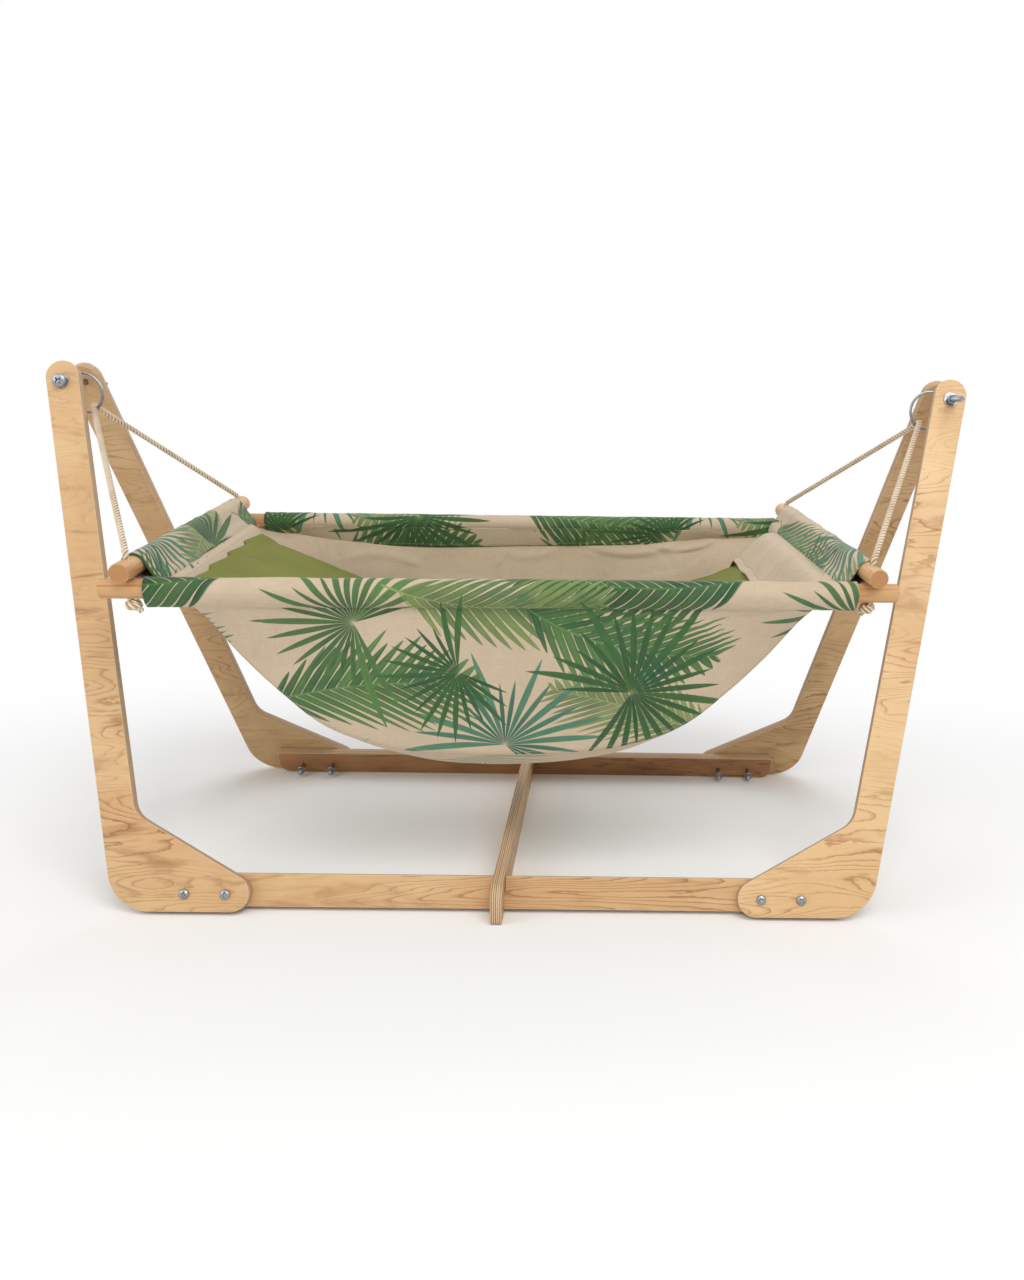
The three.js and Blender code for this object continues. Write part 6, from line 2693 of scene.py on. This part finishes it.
@dataclass(frozen=True)
class Pad:
    """The foam mattress in its olive cover, sagging into the belt."""

    length: float = 0.831
    width: float = 0.412
    thickness: float = 0.045
    rest: float = 0.0018
    sag: float = 0.148
    rise: float = 0.119
    arch: float = 0.3985
    shift: float = -0.0115
    inset: float = 0.0035
    least: float = 0.017

    def top(self, x: Array) -> Array:
        """Height of the pad's top at an x: a parabola, fuller left of the middle and low at the
        right end, but never nearer to the belt than its least height.

        Args:
            x: Place along the pad.

        Returns:
            The heights.
        """
        full = 0.010 * np.exp(-(((x + 0.29) / 0.11) ** 2))
        fall = 0.014 * smooth(x, 0.22, 0.37)
        line = -self.sag + self.rise * (x / self.arch) ** 2 + full - fall
        return np.maximum(line, PLAN.seam(PLAN.share_at(x))[1] + self.least)

    def floor(self, x: Array) -> Array:
        """Height of its underside, pressed up where the belt carries it."""
        _, z = PLAN.seam(PLAN.share_at(x))
        return np.maximum(self.top(x) - self.thickness, z + 0.0015 + self.rest)

    @staticmethod
    def squared(wave: Array) -> Array:
        """A sine or cosine bent so that the two draw a superellipse with the power 2 / 0.45."""
        return np.sign(wave) * np.abs(wave) ** 0.45

    def skin(self) -> Skin:
        """A closed pad whose sections are superellipses, drawn in by the inset.

        Returns:
            The closed skin.
        """
        rows = 121
        angle = np.linspace(-math.pi / 2, math.pi / 2, rows)
        share = np.sin(angle) * 0.35 + np.linspace(-1, 1, rows) * 0.65
        x = share * (self.length / 2 - self.inset) + self.shift
        end = np.clip(1 - np.abs(share) ** 18, 0, 1) ** 0.5
        top, floor = self.top(x), self.floor(x)
        half = (top - floor) / 2 * np.maximum(end, 0.75)
        middle = floor + half
        around = angles(96)
        breadth = (self.width / 2 - self.inset) * (0.985 + 0.015 * end[:, None])
        y = self.squared(np.cos(around))[None] * breadth
        z = middle[:, None] + self.squared(np.sin(around))[None] * (half[:, None] - self.inset * 0.5)
        points = np.stack([np.broadcast_to(x[:, None], y.shape), y, z], -1)
        return grid_skin(points, closed=(False, True), capped=True)

    def build(self, finishes: dict[str, bpy.types.Material]) -> None:
        """The pad, swollen by a short cloth simulation with pressure inside, and then seamed.

        Args:
            finishes: Every material by name.
        """
        piece = make_piece("mattress_pad", self.skin(), finishes["olive"], "sling",
                           ["mattress"], PLAN.place)
        self.swell(piece)
        self.seam(piece)

    def swell(self, piece: bpy.types.Object) -> None:
        """Remeshes the pad, lets it swell like a filled cover and caps how far it moves.

        Args:
            piece: The pad's object.
        """
        even = piece.modifiers.new("even", "REMESH")
        even.mode = "VOXEL"
        even.voxel_size = 0.006
        piece.modifiers.new("soft", "SMOOTH").iterations = 5
        mesh = applied(piece)
        piece.modifiers.clear()
        piece.data = mesh
        before = mesh_points(mesh)
        cloth = piece.modifiers.new("swell", "CLOTH")
        cloth.settings.use_pressure = True
        cloth.settings.uniform_pressure_force = 4
        cloth.settings.effector_weights.gravity = 0
        scene = bpy.context.scene
        frames = 20
        for number in range(1, frames + 1):
            scene.frame_set(number)
        swollen = piece.evaluated_get(bpy.context.evaluated_depsgraph_get()).to_mesh()
        after = mesh_points(swollen)
        piece.modifiers.clear()
        scene.frame_set(1)
        local = PLAN.place.local(before)
        ends = smooth(np.abs(local[:, 0] - self.shift), self.length / 2 - 0.07, self.length / 2 - 0.02)
        freedom = (0.15, 0.4, 1.0)
        move = (after - before) @ PLAN.place.axes.T * freedom * (1 - ends)[:, None]
        size = np.linalg.norm(move, axis=1, keepdims=True)
        under = local[:, 2] < (self.top(local[:, 0]) + self.floor(local[:, 0])) / 2 - 0.004
        below, above = 0.0012, 0.0045
        cap = np.where(under, below, above)[:, None]
        after = PLAN.place.world(local + move * np.minimum(1, cap / np.maximum(size, 1e-9)))
        set_points(mesh, after)
        shade(mesh)
        mesh.update()

    def seam(self, piece: bpy.types.Object) -> None:
        """Presses the cover's seam into the pad's side, halfway up it, and adds slack creases.

        Args:
            piece: The pad's object.
        """
        mesh = piece.data
        local = PLAN.place.local(mesh_points(mesh))
        x, y, z = local.T
        middle = (self.top(x) + self.floor(x)) / 2
        side = smooth(np.abs(y), self.width / 2 - 0.02, self.width / 2 - 0.004)
        tips = smooth(np.abs(x - self.shift), self.length / 2 - 0.03, self.length / 2 - 0.008)
        wide, deep = 0.0022, 0.0018
        groove = np.exp(-(((z - middle) / wide) ** 2)) * np.maximum(side, tips) * deep
        local[:, 1] -= np.sign(y) * groove * side
        box = (-0.38, -0.19, 0.38, 0.19)
        creases = Creases.scattered(17, 46, box, (0, math.pi), (0.02, 0.07), (0.003, 0.007), 0.0016)
        upper = smooth(z, middle, middle + 0.008)
        local[:, 2] += (creases.lift(x, y) + ripples(x, y, 14, (0.07, 0.25), 4) * 0.0009 - 0.0006) * upper
        set_points(mesh, PLAN.place.world(local))
        mesh.update()


# STUDIO


@dataclass(frozen=True)
class Studio:
    """A pale floor, soft lamps and the camera."""

    eye: tuple[float, float, float] = (0.1391, -1.608, 0.6544)
    yaw: float = -0.02282
    pitch: float = 0.2082
    roll: float = -0.02054
    focal: float = 1068.0
    middle_x: float = 627.9
    frame: tuple[int, int] = (1024, 1280)
    sensor: float = 32.0

    def build(self) -> None:
        """The camera, the floor, the lamps and the world."""
        self.camera()
        self.floor()
        self.lamp("key", (0.9, -2.2, 2.9), 2.4, 62.0)
        self.lamp("fill", (-2.4, -1.6, 1.5), 2.2, 20.0)
        self.lamp("back", (0.2, 2.3, 2.2), 2.2, 22.0)
        self.world()
        bpy.context.scene.view_settings.view_transform = "Standard"

    def camera(self) -> None:
        """The camera, whose place, turn, focal length and shift put the stand where it is seen.

        The focal length and the optical axis' place are in pixels of the frame.
        """
        sine, cosine, level = math.sin(self.yaw), math.cos(self.yaw), math.cos(self.pitch)
        ahead = np.array([-sine * level, cosine * level, -math.sin(self.pitch)])
        right = np.array([cosine, sine, 0.0])
        down = np.cross(ahead, right)
        x = right * math.cos(self.roll) + down * math.sin(self.roll)
        y = down * math.cos(self.roll) - right * math.sin(self.roll)
        data = bpy.data.cameras.new("camera")
        data.sensor_fit = "VERTICAL"
        data.sensor_height = self.sensor
        data.lens = self.sensor * self.focal / self.frame[1]
        data.shift_x = (self.frame[0] / 2 - self.middle_x) / self.frame[1]
        data.clip_end = 60.0
        camera = link_object("camera", data)
        matrix = np.eye(4)
        matrix[:3] = np.stack([x, -y, -ahead, self.eye], 1)
        camera.matrix_world = Matrix(matrix.tolist())
        bpy.context.scene.camera = camera

    def floor(self) -> None:
        """A wide pale floor, white to the camera away from the object's shadow."""
        mesh = bpy.data.meshes.new("floor")
        reach, low = 14.0, -0.0004
        signs = ((-1, -1), (1, -1), (1, 1), (-1, 1))
        mesh.from_pydata([(x * reach, y * reach, low) for x, y in signs], [], [(0, 1, 2, 3)])
        material, graph, shader = surface("pale_floor")
        place = graph.add("TexCoord").outputs["Object"]
        grain = graph.noise(place, 90.0, 3.0, 0.6)
        pale = graph.mix(graph.times(grain, 0.04), (0.96, 0.96, 0.96, 1), (0.9, 0.9, 0.9, 1))
        graph.put(pale, shader.inputs["Base Color"])
        graph.put(0.9, shader.inputs["Roughness"])
        graph.put(0.1, shader.inputs["Specular IOR Level"])
        away = graph.span(graph.vector("LENGTH", graph.scaled(place, 0.75, 1.0, 0.0)), 0.55, 1.25)
        seen = self.seen(graph)
        glow = graph.add("Emission")
        glow.inputs["Color"].default_value = (1, 1, 1, 1)
        blend = graph.add("MixShader")
        graph.put(graph.times(away, seen), blend.inputs[0])
        graph.put(shader.outputs[0], blend.inputs[1])
        graph.put(glow.outputs[0], blend.inputs[2])
        output = next(n for n in graph.tree.nodes if n.type == "OUTPUT_MATERIAL")
        graph.put(blend.outputs[0], output.inputs["Surface"])
        mesh.materials.append(material)
        link_object("floor", mesh)

    def lamp(self, name: str, place: tuple[float, float, float], size: float, watts: float) -> None:
        """A square soft lamp that points at the middle of the hammock.

        Args:
            name: The lamp's name.
            place: Where it hangs.
            size: Length of its side.
            watts: Its power.
        """
        data = bpy.data.lights.new(name, "AREA")
        data.size = size
        data.energy = watts
        back = Vector(place) - Vector((0, 0, 0.4))
        turn = back.to_track_quat("Z", "Y").to_matrix().to_4x4()
        link_object(name, data).matrix_world = Matrix.Translation(place) @ turn

    @staticmethod
    def seen(graph: Graph) -> Socket:
        """1 for what the camera sees, straight or in metal or glass, and 0 for other light.

        Args:
            graph: The material's graph.

        Returns:
            The mask.
        """
        path = graph.add("LightPath").outputs
        seen = graph.math("MAXIMUM", path["Is Camera Ray"], path["Is Glossy Ray"])
        return graph.math("MAXIMUM", seen, path["Is Transmission Ray"])

    def world(self) -> None:
        """Even light from all round, and plain white where the camera or a reflection sees it."""
        world = bpy.data.worlds.new("studio")
        world.use_nodes = True
        graph = Graph(world.node_tree)
        seen = self.seen(graph)
        backdrop = next(n for n in world.node_tree.nodes if n.type == "BACKGROUND")
        backdrop.inputs["Color"].default_value = (1, 1, 1, 1)
        graph.put(graph.linear(seen, 0.45, 0.55), backdrop.inputs["Strength"])
        bpy.context.scene.world = world


PRINT = (
    Leaf(Motif.SPRAY, (0.06, 0.04), 1.3, 0.13, 1, *SAGE, strength=0.8, count=15, fill=0.4),
    Leaf(Motif.SPRAY, (0.40, 0.36), -1.5, 0.14, 2, *SAGE, strength=0.8, count=15, fill=0.4),
    Leaf(Motif.FROND, (0.62, 0.10), 2.6, 0.24, 3, *MOSS, strength=0.9, width=0.07, count=18),
    Leaf(Motif.SPRAY, (0.33, 0.10), 1.2, 0.15, 9, *TEAL, count=19, spread=2.0, fill=0.55),
    Leaf(Motif.FROND, (0.02, 0.16), 0.35, 0.27, 4, *FOREST, width=0.085, count=17, bend=-0.9),
    Leaf(Motif.FROND, (0.64, 0.35), -2.9, 0.29, 5, *DEEP, width=0.10, count=17, bend=-1.0),
    Leaf(Motif.SPRAY, (0.14, 0.28), 2.7, 0.16, 6, *FOREST, count=23, spread=2.4, fill=0.58),
    Leaf(Motif.FROND, (0.20, 0.33), -0.35, 0.25, 11, *MOSS, width=0.08, count=16, bend=1.2),
    Leaf(Motif.FROND, (0.36, 0.30), -0.6, 0.25, 7, *FOREST, width=0.085, count=16, bend=1.4),
    Leaf(Motif.SPRAY, (0.50, 0.18), 0.5, 0.16, 8, *DEEP, count=25, spread=2.6, fill=0.6),
    Leaf(Motif.SPRAY, (0.27, 0.21), -2.6, 0.12, 10, *DEEP, count=19, spread=2.2, fill=0.55),
)


def finishes(effects: Effects) -> dict[str, bpy.types.Material]:
    """Every material by the name that the pieces ask for.

    Args:
        effects: The node groups that finishes share.

    Returns:
        The materials.
    """
    # One birch in lit and shaded copies. The first palette, the brightest, is for the front-right leg, which
    # faces the light. The second is painted shade on the front-left leg and the front rail, and the third is
    # darker painted shade on the back legs and the brace, whose faces lean away from the light. The fourth,
    # darkest and browner, is for the back rail: partly a darker veneer, partly painted shade. The last is the
    # dowels' beech.
    front = (display(228, 194, 146), display(216, 176, 126), display(160, 106, 54))
    shade = (display(214, 178, 130), display(202, 160, 112), display(148, 96, 46))
    back = (display(202, 168, 122), display(186, 148, 102), display(132, 92, 50))
    brown_and_shaded = (display(176, 128, 82), display(148, 102, 64), display(84, 54, 32))
    tan = (display(212, 168, 116), display(198, 150, 98), display(160, 106, 60))
    made = {
        "leg_front_left": BirchPlywood("birch_front_left", *shade, seed=1.3, flame=0.6),
        "leg_front_right": BirchPlywood("birch_front_right", *front, seed=5.1),
        "leg_back_left": BirchPlywood("birch_back_left", *back, seed=9.4),
        "leg_back_right": BirchPlywood("birch_back_right", *back, seed=14.2),
        "rail_front": BirchPlywood("birch_rail", *shade, seed=21.0, along=1.6),
        "rail_back": BirchPlywood("birch_rail_brown_and_shaded", *brown_and_shaded, seed=25.5, along=1.6, figure=0.8),
        "brace": BirchPlywood("birch_brace", *back, seed=31.7),
        "long_dowel_front": Beech("beech_front", *tan, seed=2.0),
        "long_dowel_back": Beech("beech_back", *tan, seed=4.0),
        "short_dowel_left": Beech("beech_left", *tan, seed=6.0),
        "short_dowel_right": Beech("beech_right", *tan, seed=8.0),
        "zinc": Zinc("zinc_steel", display(158, 161, 165), display(96, 95, 90)),
        "rope": CottonRope("cotton_rope", display(246, 233, 210), display(168, 134, 92)),
        "thread": CottonRope("sewing_thread", display(206, 196, 168), display(168, 156, 126)),
        "olive": OliveCover("olive_cover", display(124, 127, 52), display(94, 98, 34)),
    }
    shifts = {
        "front": (0.34, 0.30), "back": (0.02, 0.12), "left": (0.50, 0.05), "right": (0.20, 0.44),
        "belt": (0.10, 0.25),
    }
    for key, (x, y) in shifts.items():
        made[f"print_{key}"] = Linen(
            f"printed_linen_{key}", display(212, 194, 168), display(176, 153, 126), PRINT, offset=(x, y, 0.0)
        )
    return {key: finish.build(effects) for key, finish in made.items()}


def main() -> None:
    """Builds the studio and every piece of the hammock."""
    Studio().build()
    materials = finishes(Effects())
    Suspension(materials).build()
    Dowels(materials).build()
    Stand(materials).build()
    Bed(materials).build()
    Pad().build(materials)
    log.info("finished")


if __name__ == "__main__":
    main()
